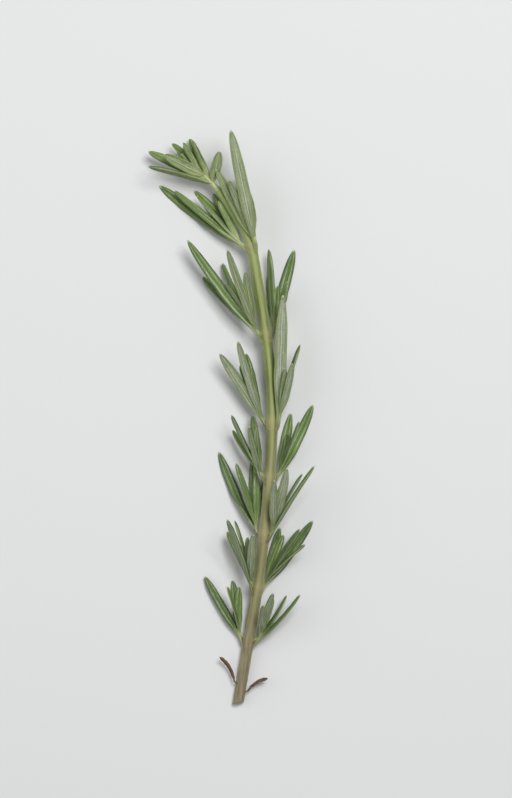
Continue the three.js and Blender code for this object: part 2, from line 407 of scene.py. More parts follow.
@dataclass(frozen=True)
class StemLine:
    """The line of the stem and its thickness.

    Attributes:
        length: From the cut to where the young leaves of the tip begin.
        start: x and y of the middle of the cut end.
        heading: Degrees to the right of +Y at the cut end.
        bends: Where each bend starts and ends along the stem, and its turn to the right in degrees.
        lift: Where the stem starts to rise from the table, where it is level again, and the rise.
        radius: At the cut end.
        tip_radius: At the other end.
        taper: Where the stem thins.
        squareness: How far its four corners stand out, as a share of the radius.
        swelling: The height and half the length of the thickening at each pair of clusters.
        pairs: Where the pairs of clusters are.
        step: Between the points that are worked out along it.
        beyond: How far past its end the line is followed.
        span: How far to each side of a point its direction is taken from.
    """

    length: float = 148.5
    start: Pair = (1.94, -80.17)
    heading: float = 9.5
    bends: tuple[tuple[float, float, float], ...] = (
        (20, 60, -4.5), (60, 112, -14), (125, 137.5, -23.5), (140, 166, -28),
    )
    lift: tuple[float, float, float] = (0, 62, 5.6)
    radius: float = 1.5
    tip_radius: float = 1.1
    taper: Pair = (118, 148)
    squareness: float = 0.06
    swelling: Pair = (0.28, 1.6)
    pairs: tuple[float, ...] = tuple(pair[0] for pair in PAIRS)
    step: float = 0.5
    beyond: float = 20.0
    span: float = 1.0

    def point(self, s: Array | float) -> Array:
        """Find the middle of the stem: its headings, added up step by step.

        Args:
            s: Distances along the stem.

        Returns:
            A point for each distance.
        """
        marks = np.arange(0, self.length + self.beyond, self.step)
        middles = marks[:-1] + self.step / 2
        turned = sum(turn * ease(low, high, middles) for low, high, turn in self.bends)
        heading = np.radians(self.heading + turned)
        x = self.start[0] + np.concatenate([[0], np.cumsum(self.step * np.sin(heading))])
        y = self.start[1] + np.concatenate([[0], np.cumsum(self.step * np.cos(heading))])
        low, high, rise = self.lift
        z = self.radius + rise * ease(low, high, s)
        return np.stack([np.interp(s, marks, x), np.interp(s, marks, y), z], -1)

    def axes(self, s: Array | float) -> tuple[Array, Array, Array]:
        """Return the directions along the stem, to its right and up from it.

        Args:
            s: Distances along the stem.

        Returns:
            The three directions at each.
        """
        s = np.asarray(s, float)
        along = unit(self.point(s + self.span) - self.point(np.maximum(s - self.span, 0)))
        right = unit(np.cross(along, UP))
        return along, right, np.cross(right, along)

    def outward(self, s: Array | float, side: Array | float) -> Array:
        """Return the direction square to the stem on one side of it.

        Args:
            s: Distances along the stem.
            side: The side of it, in degrees.

        Returns:
            A direction for each.
        """
        _, right, up = self.axes(s)
        angle = np.radians(side)[..., None]
        return right * np.cos(angle) + up * np.sin(angle)

    def radius_at(self, s: Array | float) -> Array:
        """Return the radius: an eased taper, and a bell-shaped swelling at each pair.

        Args:
            s: Distances along the stem.

        Returns:
            The radius at each.
        """
        s = np.asarray(s, float)
        height, reach = self.swelling
        bells = [bell((s - at) / reach) for at in self.pairs]
        thinned = (self.tip_radius - self.radius) * ease(*self.taper, s)
        return self.radius + thinned + height * np.max(bells, axis=0)


@dataclass(frozen=True)
class Chance:
    """How far a leaf departs by chance from what its row says.

    Attributes:
        splay: In degrees, as the two angles below.
        side: The side of the stem.
        twist: The turn of its upper face.
        bow: How far its middle stands out, as a share of its length.
        width: As a share of the width.
    """

    splay: float = 2.5
    side: float = 6.0
    twist: float = 14.0
    bow: float = 0.035
    width: float = 0.1


@dataclass(frozen=True)
class Blades:
    """Leaves that have grown, one row each.

    Attributes:
        foot: Where each leaf starts.
        heading: The direction it runs in.
        face: The direction that its upper face looks in.
        length: From foot to tip.
        width: At its widest.
        bow: How far its middle stands towards its upper face, as a share of its length.
        root: Where each leaf starts inside the stem or shoot, from which it bends out to its foot.
        youth: 0 for a full-grown leaf and 1 for one at the end of the shoot.
    """

    foot: Array
    heading: Array
    face: Array
    length: Array
    width: Array
    bow: Array
    root: Array
    youth: Array


def grow(
    stem: StemLine, at: Array, roots: Array, feet: Array, rows: Sequence[Leaf], seed: int, youth: Array
) -> Blades:
    """Turn each leaf as its row says, and a little by chance.

    A leaf's upper face looks towards the stem, so it is the stem's direction less its part along the leaf.

    Args:
        stem: The stem that they grow on.
        at: Each leaf's place along the stem.
        roots: Where each leaf starts, inside what it grows from.
        feet: Each leaf's foot.
        rows: The leaves.
        seed: The start of the random series.
        youth: How young each leaf is.

    Returns:
        The grown leaves.
    """
    chance = Chance()
    series = draws(seed)
    shake = np.array([[next(series) for _ in fields(chance)] for _ in rows])
    table = np.array([[row.length, row.splay, row.side, row.twist] for row in rows], float)
    lean = np.radians(table[:, 1] + chance.splay * shake[:, 0])[:, None]
    out = stem.outward(at, table[:, 2] + chance.side * shake[:, 1])
    along = stem.axes(at)[0]
    heading = along * np.cos(lean) + out * np.sin(lean)
    face = along * np.sin(lean) - out * np.cos(lean)
    across = np.cross(heading, face)
    turn = np.radians(np.sign(across[:, 2]) * table[:, 3] + chance.twist * shake[:, 2])[:, None]
    face = face * np.cos(turn) + across * np.sin(turn)
    width = LeafForm().full_width(table[:, 0]) * (1 + chance.width * shake[:, 3])
    return Blades(feet, heading, face, table[:, 0], width, chance.bow * shake[:, 4], roots, youth)


# ---------- the leaf ----------


@dataclass(frozen=True)
class LeafForm:
    """The shape that every leaf has.

    Attributes:
        thickness: Over its rolled edges, a little less than the solid's.
        least_width: A leaf's least width, to which each millimetre of length adds width_per_length.
        neck: The foot's share of the width, and where along the leaf the full width starts.
        shoulder: Where along the leaf its blunt tip starts.
        tip_round: The powers of the tip's outline: a circle has 2 and 0.5.
        narrowing: How much of its width a leaf loses between its middle and its shoulder.
        foot_thin: The foot's share of the thickness, and where the full thickness starts.
        tip_thin: The tip's share of the thickness, and where it starts to thin.
        press: How far a leaf is pressed flat where it lies on the table.
        settle: How gently it comes down to the table.
        root_size: The shares of the foot's width and thickness that a leaf has at its root.
        end_round: How far back from the tip its thickness starts to round off, as a share of the length.
        elbow: How far below the foot the curve from the root turns, as a share of its distance to the foot.
        plain: Where along the leaf its section stops being an oval, and where it starts to be one again.
        oval: The height of that oval, as a share of the thickness.
        stations: Rings along a leaf from its foot to its tip.
        root_stations: Rings from its root to its foot.
        crowding: The power by which the rings crowd towards the tip.
        ripple: How far its edges wander, as a share of its width.
        ripple_waves: The fewest and the most waves that they do it in.
        sway: How far a leaf's tip bends sideways, as a share of its length.
        turn: How far a leaf turns about its middle line on the way to its tip, in degrees, and the power
            of t that it turns by.
        pebble: Height of the fine bumps of its upper face.
        pebble_waves: How quickly they follow each other across the leaf, and along it in two waves.
        pebble_rise: How quickly they grow with the height over the edge.
        inset: How much shorter a leaf is than its solid, as a share of its length.
        level_off: Heights over the table at which the upper face is turned right up, and not at all.
    """

    thickness: float = 0.95
    least_width: float = 2.05
    width_per_length: float = 0.035
    neck: Pair = (0.34, 0.36)
    shoulder: float = 0.6
    tip_round: Pair = (2.1, 0.57)
    narrowing: float = 0.04
    foot_thin: Pair = (0.7, 0.25)
    tip_thin: Pair = (0.65, 0.85)
    press: float = 0.32
    settle: float = 1.1
    root_size: Pair = (0.9, 0.25)
    end_round: float = 0.05
    elbow: float = 0.55
    plain: Pair = (0.16, 0.94)
    oval: float = 0.9
    stations: int = 60
    root_stations: int = 9
    crowding: float = 1.5
    ripple: float = 0.03
    ripple_waves: Pair = (2, 7)
    sway: float = 0.014
    turn: Pair = (16.0, 1.5)
    pebble: float = 0.022
    pebble_waves: tuple[float, float, float] = (11, 3.1, 1.9)
    pebble_rise: float = 3.0
    inset: float = 0.008
    level_off: Pair = (0.8, 2.6)

    def full_width(self, length: Array) -> Array:
        """Return the greatest width of leaves of these lengths."""
        return self.least_width + self.width_per_length * length

    def half_width(self, t: Array) -> Array:
        """Return the share of half the width at t: an eased neck, straight sides and a blunt round tip.

        Args:
            t: Places along a leaf.

        Returns:
            The share at each.
        """
        foot, full = self.neck
        power, root = self.tip_round
        past = np.clip((t - self.shoulder) / (1 - self.shoulder), 0, 1)
        necked = foot + (1 - foot) * ease(0, full, t)
        slimmed = 1 - self.narrowing * ease(full, self.shoulder, t)
        return necked * slimmed * (1 - past**power) ** root * (1 - (1 - self.root_size[0]) * ease(0, 1, -t))

    def half_thickness(self, t: Array) -> Array:
        """Return half the thickness at t, less at the foot and the tip, and least at the root.

        Args:
            t: Places along a leaf.

        Returns:
            Half the thickness at each.
        """
        foot, full = self.foot_thin
        tip, thinning = self.tip_thin
        grown = (foot + (1 - foot) * ease(0, full, t)) * (1 - (1 - self.root_size[1]) * ease(0, 1, -t))
        rounded = np.sqrt(1 - np.clip((t - 1) / self.end_round + 1, 0, 1) ** 2)
        return self.thickness / 2 * grown * (1 - (1 - tip) * ease(thinning, 1, t)) * rounded

    def spine(self, blades: Blades, t: Array, sway: Array) -> Array:
        """Find the middle lines, from each root at t = -1 over the foot at 0 to the tip at 1.

        Up to the foot it is a curve of the second degree that meets the foot in the leaf's own direction.
        From there it is straight, bowed by a parabola and swayed by the square of t. At last it is eased
        level above the table: the height over the table becomes settle times the logarithm of 1 plus e to
        the height over settle.

        Args:
            blades: The leaves.
            t: Places along them.
            sway: How far each tip bends sideways, as a share of the length.

        Returns:
            Points in the shape (leaves, places, 3).
        """
        on_blade = np.maximum(t, 0)[None, :, None]
        length = blades.length[:, None, None]
        arch = (length * blades.bow[:, None, None]) * 4 * on_blade * (1 - on_blade)
        sideways = np.cross(blades.heading, blades.face)[:, None]
        blade = blades.foot[:, None] + blades.heading[:, None] * length * on_blade * (1 - self.inset)
        blade = blade + blades.face[:, None] * arch + sideways * length * sway[:, None, None] * on_blade**2
        reach = self.elbow * np.linalg.norm(blades.foot - blades.root, axis=1, keepdims=True)
        elbow = blades.foot - blades.heading * reach
        share = np.clip(t + 1, 0, 1)[None, :, None]
        first = blades.root[:, None] * (1 - share) ** 2
        lead = first + elbow[:, None] * 2 * share * (1 - share) + blades.foot[:, None] * share**2
        spots = np.where(t[None, :, None] < 0, lead, blade)
        floor = self.thickness / 2 - self.press
        spots[..., 2] = floor + self.settle * np.log1p(np.exp((spots[..., 2] - floor) / self.settle))
        return spots

    def section(self) -> tuple[Array, Array, Array]:
        """Return the leaf's outline, the plain oval near its ends, and which face each point is on.

        The outline runs from the groove of the upper face over the right edge, which is rolled under, and
        along the felt to the midrib, and then back on the left.

        Returns:
            Two outlines as rows of shares of half the width and half the thickness, and a row with 0 on the
            upper face, 0.5 under the rolled edge and 1 on the felt.
        """
        half = np.array([
            (0.0, 0.22, 0), (0.035, 0.3, 0), (0.09, 0.58, 0), (0.18, 0.82, 0), (0.34, 0.96, 0),
            (0.54, 0.93, 0), (0.73, 0.76, 0), (0.88, 0.46, 0), (0.97, 0.08, 0), (1.0, -0.3, 0.25),
            (0.97, -0.64, 0.5), (0.9, -0.9, 0.5), (0.8, -0.97, 0.5), (0.73, -0.88, 0.5), (0.69, -0.66, 0.7),
            (0.6, -0.52, 1), (0.4, -0.46, 1), (0.2, -0.5, 1), (0.11, -0.66, 1), (0.05, -0.8, 1),
            (0.0, -0.84, 1),
        ])
        mirrored = half[-2:0:-1] * np.array([-1, 1, 1])
        full = np.concatenate([half, mirrored])
        turn = np.linspace(0, 2 * np.pi, len(full), endpoint=False)
        oval = np.stack([np.sin(turn), self.oval * np.cos(turn)], -1)
        return full[:, :2], oval, full[:, 2]

    def stations_along(self) -> Array:
        """Return where the rings stand: even from root to foot, and closer towards the tip.

        Returns:
            The rings' places.
        """
        lead = np.linspace(-1, 0, self.root_stations + 2)[1:-1]
        share = np.linspace(0, 1, self.stations + 1)[:-1]
        return np.concatenate([lead, 1 - (1 - share) ** self.crowding])

    def facing(self, blades: Blades, middle: Array, turned: Array) -> tuple[Array, Array]:
        """Find the directions across the leaves and out of their upper faces.

        Near the table the upper face is turned up. The two directions then turn about the middle line.

        Args:
            blades: The leaves.
            middle: The points of their middle lines.
            turned: How far each has turned at each point.

        Returns:
            A direction across and a direction of the upper face for each point.
        """
        flat = (1 - ease(*self.level_off, middle[..., 2]))[..., None]
        along = unit(np.gradient(middle, axis=1))
        across = unit(np.cross(along, blades.face[:, None] * (1 - flat) + UP * flat))
        face = np.cross(across, along)
        angle = turned * (1 - flat)
        cosine, sine = np.cos(angle), np.sin(angle)
        return across * cosine + face * sine, face * cosine - across * sine

    def skin(self, blades: Blades, seed: int) -> Skin:
        """Carry the section along every leaf's middle line at once.

        A point is the middle line, plus the direction across the leaf times the outline's width, plus the
        direction of its upper face times the outline's height.

        Args:
            blades: The leaves.
            seed: The start of the chance in their edges.

        Returns:
            The leaves as one skin, with the marks blade and growth.
        """
        rng = np.random.default_rng(seed)
        count = len(blades.length)
        phase = rng.uniform(0, 2 * np.pi, (count, 4, 1))
        waves = rng.uniform(*self.ripple_waves, (count, 2, 1)) * 2 * np.pi
        tone = rng.uniform(0, 1, (count, 1, 1))
        sway = self.sway * rng.uniform(-1, 1, count)
        most, power = self.turn
        turning = np.radians(most * rng.uniform(-1, 1, (count, 1, 1)))

        t = self.stations_along()
        middle = self.spine(blades, t, sway)
        across, face = self.facing(blades, middle, turning * (np.maximum(t, 0) ** power)[None, :, None])
        full, oval, below = self.section()
        foot, tip = self.plain
        ended = np.maximum(1 - ease(0.0, foot, t), ease(tip, 1.0, t))[:, None, None]
        outline = full * (1 - ended) + oval * ended
        wander = np.sin(waves * t + phase[:, :2]).sum(1) * self.ripple / 2
        half_width = blades.width[:, None] / 2 * self.half_width(t) * (1 + wander)
        wide = outline[..., 0] * half_width[..., None]
        pebbles = self.pebbles(outline, t, blades.length, phase)
        high = outline[..., 1] * self.half_thickness(t)[:, None] + pebbles
        rings = middle[:, :, None] + across[:, :, None] * wide[..., None]
        rings = rings + face[:, :, None] * high[..., None]

        poles = np.array([-1.0, 1.0])
        length, youth = blades.length[:, None], blades.youth[:, None]
        blade = beside(outline[..., 0], (length * t)[..., None], below * (1 - ended[..., 0]))
        growth = beside(tone, youth[..., None], t[:, None])
        marks = {
            "blade": (blade, beside(0.0, length * poles, 0.0)),
            "growth": (growth, beside(tone[..., 0], youth, poles)),
        }
        return tubes(rings, self.spine(blades, poles, sway), marks)

    def pebbles(self, outline: Array, t: Array, length: Array, phase: Array) -> Array:
        """Return fine bumps on the upper face: a wave across times the sum of two waves along the leaf.

        Args:
            outline: The leaves' outlines.
            t: Places along them.
            length: Their lengths.
            phase: Where their waves start.

        Returns:
            What to add to the height of every point.
        """
        over, one, other = self.pebble_waves
        wave = np.sin(outline[..., 0] * over + phase[:, 2:3])
        run = (length[:, None] * t)[..., None]
        along = np.sin(run * one + phase[:, 3:4]) + np.sin(run * other + phase[:, :1])
        return self.pebble * wave * along * np.clip(outline[..., 1] * self.pebble_rise, 0, 1)


@dataclass(frozen=True)
class ShootForm:
    """A slim shoot with a rounded end, which the leaves of a cluster grow from.

    Attributes:
        radius: At its root.
        length: From where it leaves the stem.
        narrowing: The share of the radius that it loses.
        blunt: The power by which its end rounds off.
        elbow: How far along it the curve turns, as a share of the length.
        rings: Rings along it.
        around: Points round it.
        looks_like: The tone of a leaf, and the place across and along it, whose colours it has.
    """

    radius: float
    length: float
    narrowing: float = 0.5
    blunt: int = 6
    elbow: float = 0.2
    rings: int = 20
    around: int = 18
    looks_like: tuple[float, float, float] = (0.5, 0.5, 0.12)

    def skin(self, root: Array, foot: Array, axis: Array, youth: float) -> Skin:
        """Carry shrinking circles along a curve of the second degree from the root to the shoot's end.

        The curve starts at the root, leans towards the foot and ends past it along the axis. The radius
        narrows evenly, times the square root of 1 less a power of the way along.

        Args:
            root: Where it starts, inside the stem.
            foot: Where it leaves the stem.
            axis: The direction that it grows in.
            youth: How young it looks.

        Returns:
            The shoot, marked as one place of a leaf.
        """
        share = np.linspace(0, 1, self.rings + 1)[:-1]
        tip = foot + axis * (self.length + self.radius)
        elbow = foot + axis * self.elbow * self.length
        weights = np.stack([(1 - share) ** 2, 2 * share * (1 - share), share**2], -1)
        middle = weights @ np.stack([root, elbow, tip])
        along = unit(np.gradient(middle, axis=0))
        right = unit(np.cross(along, UP))
        up = np.cross(right, along)
        radius = self.radius * (1 - self.narrowing * share) * np.sqrt(1 - share**self.blunt)
        turn = np.linspace(0, 2 * np.pi, self.around, endpoint=False)[:, None]
        round_it = right[:, None] * np.sin(turn) + up[:, None] * np.cos(turn)
        rings = middle[:, None] + round_it * radius[:, None, None]
        tone, across, t = self.looks_like
        look = np.array([tone, youth, t])
        marks = {"blade": (np.array([across, 0, 0]), np.zeros(3)), "growth": (look, look)}
        return tubes(rings[None], np.stack([root, tip])[None], marks)


@dataclass(frozen=True)
class Ribbons:
    """Leaves taken as rows of ellipses, one across the leaf at each place along it.

    Attributes:
        middle: The middles of the ellipses, in the shape (leaves, places, 3).
        across: The direction of each leaf's width.
        face: The direction of its upper face.
        heading: The direction that it runs in.
        half_width: Half its width at each place.
        half_thick: Half the thickness of every leaf.
    """

    middle: Array
    across: Array
    face: Array
    heading: Array
    half_width: Array
    half_thick: float

    def reach(self, way: Array, leaf: Array, half_width: Array) -> Array:
        """Return how far the ellipses of these leaves reach in a direction."""
        over = (way * self.across[leaf]).sum(-1) * half_width
        return np.hypot(over, (way * self.face[leaf]).sum(-1) * self.half_thick)


@dataclass(frozen=True)
class Elbowroom:
    """How leaves turn aside for each other and for the stem, so that fewer grow through another.

    Attributes:
        rounds: How many times they give way.
        places: Where along the leaves they are compared: the first, the last and how many.
        gap: What stays free between two leaves.
        reach: Leaves further apart than this leave each other alone.
        level_with: Places that are further ahead of each other than this don't meet.
        most: The most that a leaf turns to a side, and up or down, in degrees.
        least_room: How far up or down every leaf's tip may go, however short the leaf is.
        level: What a millimetre to a side counts against one up or down, as they choose the way to turn.
        share: The share of each overlap that a round takes away.
        weight: The power of its length by which a leaf stands firm.
        margin: How far the tips stay inside the box of the solids.
        trunk: How far past its end the stem is followed, and the step between its points.
        counts: The overlap, with the gap in it, from which a pair is reported.
    """

    rounds: int = 80
    places: tuple[float, float, int] = (0.33, 0.98, 14)
    gap: float = 0.05
    reach: float = 5.0
    level_with: float = 1.6
    most: Pair = (3.0, 7.0)
    least_room: float = 2.2
    level: float = 2.0
    share: float = 0.5
    weight: float = 3.0
    margin: float = 0.9
    trunk: Pair = (7.0, 0.7)
    counts: float = 0.1

    def settle(self, blades: Blades, form: LeafForm, stem: StemLine) -> tuple[Blades, int]:
        """Turn the leaves about their feet, round by round, until they are clear or have turned their most.

        The shorter leaf of a pair turns more. Tips that leave the box of the solids turn back.

        Args:
            blades: All the leaves of the sprig.
            form: Their shape.
            stem: What they grow on.

        Returns:
            The leaves after the last round, and how many pairs still overlap.
        """
        t = np.linspace(*self.places)
        straight = np.zeros(len(blades.length))
        half_width = blades.width[:, None] / 2 * form.half_width(t)
        arm = blades.length[:, None] * t
        start, heading, face = blades.heading, blades.heading, blades.face
        one, other = self.neighbours(form.spine(blades, t, straight))
        firm = blades.length**self.weight
        yields = (firm[other] / (firm[one] + firm[other]))[:, None]
        lowest, highest = np.array([[*corner] for corner in CAD_BOUNDS]) / MM
        lowest, highest = lowest + self.margin, highest - self.margin
        lowest[2] = -np.inf
        past, step = self.trunk
        trunk = stem.point(np.arange(0.0, stem.length + past, step))
        sideways, upright = np.radians(self.most)
        upright = np.maximum(upright, self.least_room / blades.length)
        left = 0
        for _ in range(self.rounds):
            middle = form.spine(replace(blades, heading=heading, face=face), t, straight)
            now = Ribbons(middle, np.cross(heading, face), face, heading, half_width, form.thickness / 2)
            apart, depth, places = self.overlaps(now, one, other)
            left = int((depth > self.counts).sum())
            push = apart * np.maximum(depth, 0)[:, None] * self.share
            turned = np.zeros_like(heading)
            np.add.at(turned, one, -push * yields / arm[one, places[0]][:, None])
            np.add.at(turned, other, push * (1 - yields) / arm[other, places[1]][:, None])
            turned += self.from_stem(now, trunk, stem.radius, arm)
            turned += (np.clip(middle[:, -1], lowest, highest) - middle[:, -1]) / arm[:, -1:]
            strayed = unit(heading + turned) - start
            level = np.linalg.norm(strayed[:, :2], axis=1, keepdims=True)
            strayed[:, :2] *= np.minimum(1, sideways / np.maximum(level, 1e-9))
            strayed[:, 2] = np.clip(strayed[:, 2], -upright, upright)
            heading = unit(start + strayed)
            face = unit(face - heading * (face * heading).sum(1, keepdims=True))
        return replace(blades, heading=heading, face=face), left

    def neighbours(self, middle: Array) -> tuple[Array, Array]:
        """Return the numbers of the two leaves of every pair that comes within reach.

        Args:
            middle: The leaves' middle lines.

        Returns:
            The first and the other leaf of each pair.
        """
        one, other = np.triu_indices(len(middle), 1)
        apart = np.linalg.norm(middle[one][:, :, None] - middle[other][:, None], axis=-1).min((1, 2))
        near = apart < self.reach
        return one[near], other[near]

    def overlaps(
        self, leaves: Ribbons, one: Array, other: Array
    ) -> tuple[Array, Array, tuple[Array, Array]]:
        """Find where the two leaves of each pair overlap most.

        Two ellipses overlap where their reach towards each other is more than their distance in each of
        four directions: straight up, those of the two upper faces, and the line between them. They part
        along the one that costs least.

        Args:
            leaves: The leaves.
            one: The first leaf of each pair.
            other: The second.

        Returns:
            The direction from the first to the second, the depth, which is negative where they are clear,
            and the place on each leaf.
        """
        gone = leaves.middle[other][:, None] - leaves.middle[one][:, :, None]
        along = unit(leaves.heading[one] + leaves.heading[other])[:, None, None]
        ahead = (gone * along).sum(-1, keepdims=True)
        square = gone - along * ahead
        between = square / np.maximum(np.linalg.norm(square, axis=-1, keepdims=True), 1e-6)
        faces = [leaves.face[leaf][:, None, None] for leaf in (one, other)]
        ways = np.stack([np.broadcast_to(way, square.shape) for way in (UP, *faces, between)])
        reach = self.gap
        widths = (leaves.half_width[one][:, :, None], leaves.half_width[other][:, None])
        for leaf, half_width in zip((one, other), widths):
            reach = reach + leaves.reach(ways, leaf[None, :, None, None], half_width)
        side = (ways * square).sum(-1)
        depths = reach - np.abs(side)
        dearer = 1 + self.level * np.hypot(ways[..., 0], ways[..., 1])
        cost = np.where(depths > 0, depths * dearer, depths)
        best = cost.argmin(0)[None]
        depth = np.take_along_axis(depths, best, 0)[0]
        depth = np.where(np.abs(ahead[..., 0]) < self.level_with, depth, -1.0)
        places = np.unravel_index(depth.reshape(len(one), -1).argmax(1), depth.shape[1:])
        pair = (np.arange(len(one)), *places)
        chosen = (best[(0, *pair)], *pair)
        return ways[chosen] * np.sign(side[chosen])[:, None], depth[pair], places

    def from_stem(self, leaves: Ribbons, trunk: Array, radius: float, arm: Array) -> Array:
        """Find how far the leaves turn away from the stem, where they come too close.

        Args:
            leaves: The leaves.
            trunk: Points along the stem.
            radius: The stem's radius.
            arm: How far each place is from its leaf's foot.

        Returns:
            What to add to each leaf's heading.
        """
        away = leaves.middle[:, :, None] - trunk
        nearest = np.linalg.norm(away, axis=-1).argmin(-1)
        gone = np.take_along_axis(away, nearest[..., None, None], 2)[:, :, 0]
        distance = np.linalg.norm(gone, axis=-1)
        way = gone / distance[..., None]
        leaf = np.arange(len(arm))
        depth = radius + self.gap + leaves.reach(way, leaf[:, None], leaves.half_width) - distance
        turn = np.maximum(depth, 0) / arm * self.share
        worst = turn.argmax(1)
        return way[leaf, worst] * turn[leaf, worst][:, None]


# ---------- node sheets and shared effects ----------


@dataclass
class Sheet:
    """A node tree being wired, with short ways to add and link nodes.

    Attributes:
        tree: The tree.
    """

    tree: bpy.types.NodeTree

    def add(self, kind: str, inputs: dict[int | str, Feed] | None = None,
            **settings: object) -> bpy.types.Node:
        """Add a node.

        Args:
            kind: The node's type name, without ShaderNode.
            inputs: Socket names or numbers to a value, or to the socket that feeds it.
            **settings: Properties of the node.

        Returns:
            The node.
        """
        node = self.tree.nodes.new("ShaderNode" + kind)
        for name, value in settings.items():
            setattr(node, name, value)
        for key, value in (inputs or {}).items():
            socket = node.inputs[key]
            if isinstance(value, bpy.types.NodeSocket):
                self.tree.links.new(value, socket)
            else:
                socket.default_value = value
        return node

    def math(self, operation: str, *values: Feed, clamp: bool = False) -> Socket:
        """Add a math node and return its result."""
        return self.add("Math", dict(enumerate(values)), operation=operation, use_clamp=clamp).outputs[0]

    def step(self, value: Feed, low: float, high: float) -> Socket:
        """Return 0 up to low and 1 from high on, eased between, also where high is less than low.

        Args:
            value: The value.
            low: Where the result is 0.
            high: Where it is 1.

        Returns:
            The result.
        """
        start, end, swapped = (low, high, False) if low < high else (high, low, True)
        ends = {"From Min": start, "From Max": end, "To Min": float(swapped), "To Max": float(not swapped)}
        node = self.add("MapRange", {"Value": value, **ends}, interpolation_type="SMOOTHSTEP")
        return node.outputs["Result"]

    def mix(self, share: Feed, first: Feed, second: Feed) -> Socket:
        """Mix two colours and return the result."""
        return self.add("Mix", {"Factor": share, 6: first, 7: second}, data_type="RGBA").outputs[2]

    def paint(self, colour: Feed, *coats: tuple[Feed, Feed, Feed]) -> Socket:
        """Lay coats over a colour.

        Args:
            colour: The colour underneath.
            *coats: Each coat's mask, how much of it shows at most, and its colour, in their order.

        Returns:
            The colour on top.
        """
        for mask, strength, tint in coats:
            colour = self.mix(self.math("MULTIPLY", mask, strength), colour, tint)
        return colour

    def noise(self, place: Socket, scale: float, detail: float) -> Socket:
        """Return noise at a place."""
        return self.add("TexNoise", {"Vector": place, "Scale": scale, "Detail": detail}).outputs["Fac"]

    def bump(self, height: Socket, strength: float, distance: float) -> Socket:
        """Return the normal of a surface with these heights."""
        heights = {"Height": height, "Strength": strength, "Distance": distance}
        return self.add("Bump", heights).outputs[0]

    def marks(self, name: str) -> tuple[Socket, ...]:
        """Read a mark of the mesh and return its three numbers."""
        return self.parted(self.add("Attribute", attribute_name=name).outputs["Vector"])

    def parted(self, vector: Socket) -> tuple[Socket, ...]:
        """Return the three numbers of a vector."""
        return tuple(self.add("SeparateXYZ", {0: vector}).outputs)

    def place(self) -> Socket:
        """Return the place on the piece, in the object's own frame."""
        return self.add("TexCoord").outputs["Object"]


@dataclass(frozen=True)
class Grain:
    """The streaks that run along every part of the plant, as a shared effect.

    Attributes:
        group: The effect.
    """

    group: bpy.types.NodeTree

    @classmethod
    def made(cls, detail: float = 3.0, roughness: float = 0.6, apart: float = 43.0,
             spread: Pair = (0.3, 0.7)) -> Self:
        """Build the effect.

        Noise is read at the place across times Density, the place along over Length, and the part's own
        number, and its middle range is spread from 0 to 1.

        Args:
            detail: The noise's detail.
            roughness: Its roughness.
            apart: How far apart the parts' streaks are read.
            spread: The middle range of the noise.

        Returns:
            The effect, which takes Across, Along, Part, Density and Length and gives Streaks.
        """
        tree = bpy.data.node_groups.new("plant_streaks", "ShaderNodeTree")
        number = "NodeSocketFloat"
        defaults = {"Across": 0.0, "Along": 0.0, "Part": 0.0, "Density": 3.0, "Length": 8.0}
        for name, default in defaults.items():
            tree.interface.new_socket(name, in_out="INPUT", socket_type=number).default_value = default
        tree.interface.new_socket("Streaks", in_out="OUTPUT", socket_type=number)
        sheet = Sheet(tree)
        given, result = (tree.nodes.new("NodeGroup" + end) for end in ("Input", "Output"))
        across, along, part, density, length = given.outputs[:len(defaults)]
        corner = {
            0: sheet.math("MULTIPLY", across, density),
            1: sheet.math("DIVIDE", along, length),
            2: sheet.math("MULTIPLY", part, apart),
        }
        point = sheet.add("CombineXYZ", corner).outputs[0]
        texture = {"Vector": point, "Scale": 1.0, "Detail": detail, "Roughness": roughness}
        noise = sheet.add("TexNoise", texture).outputs["Fac"]
        tree.links.new(sheet.step(noise, *spread), result.inputs["Streaks"])
        return cls(tree)

    def streaks(self, sheet: Sheet, across: Feed, along: Feed, density: float, length: float,
                part: Feed = 0.0) -> Socket:
        """Place streaks on a material.

        Args:
            sheet: The sheet to wire on.
            across: The place across the part.
            along: The place along it, in millimetres.
            density: How many streaks there are to one step across.
            length: How long they are, in millimetres.
            part: The part's own number.

        Returns:
            The streaks, from 0 to 1.
        """
        inputs = {"Across": across, "Along": along, "Part": part, "Density": density, "Length": length}
        return sheet.add("Group", inputs, node_tree=self.group).outputs[0]


def new_material(name: str) -> tuple[bpy.types.Material, Sheet]:
    """Make an empty node material and the sheet to wire it on.

    Args:
        name: The material's name.

    Returns:
        The material and the sheet.
    """
    material = bpy.data.materials.new(name)
    material.use_nodes = True
    material.node_tree.nodes.clear()
    return material, Sheet(material.node_tree)


def finish_surface(sheet: Sheet, inputs: dict[str, Feed]) -> None:
    """Add the shader and the material's output, and link them.

    Args:
        sheet: The sheet to wire on.
        inputs: The shader's sockets, and what feeds them.
    """
    shader = sheet.add("BsdfPrincipled", inputs)
    output = sheet.add("OutputMaterial")
    sheet.tree.links.new(shader.outputs["BSDF"], output.inputs["Surface"])


# ---------- finishes ----------


@dataclass(frozen=True)
class LeafMarks:
    """What a leaf's colours are made from.

    Attributes:
        offset: The distance from the middle line, as a share of half the width.
        under: 0.5 under the rolled edge and 1 on the felt.
        tone: The leaf's own number, from which some leaves get greener felt.
        youth: How young the leaf is, which makes its felt greener too.
        broad: Broad streaks.
        fine: Fine streaks.
        pores: Fine mottling.
    """

    offset: Socket
    under: Socket
    tone: Socket
    youth: Socket
    broad: Socket
    fine: Socket
    pores: Socket


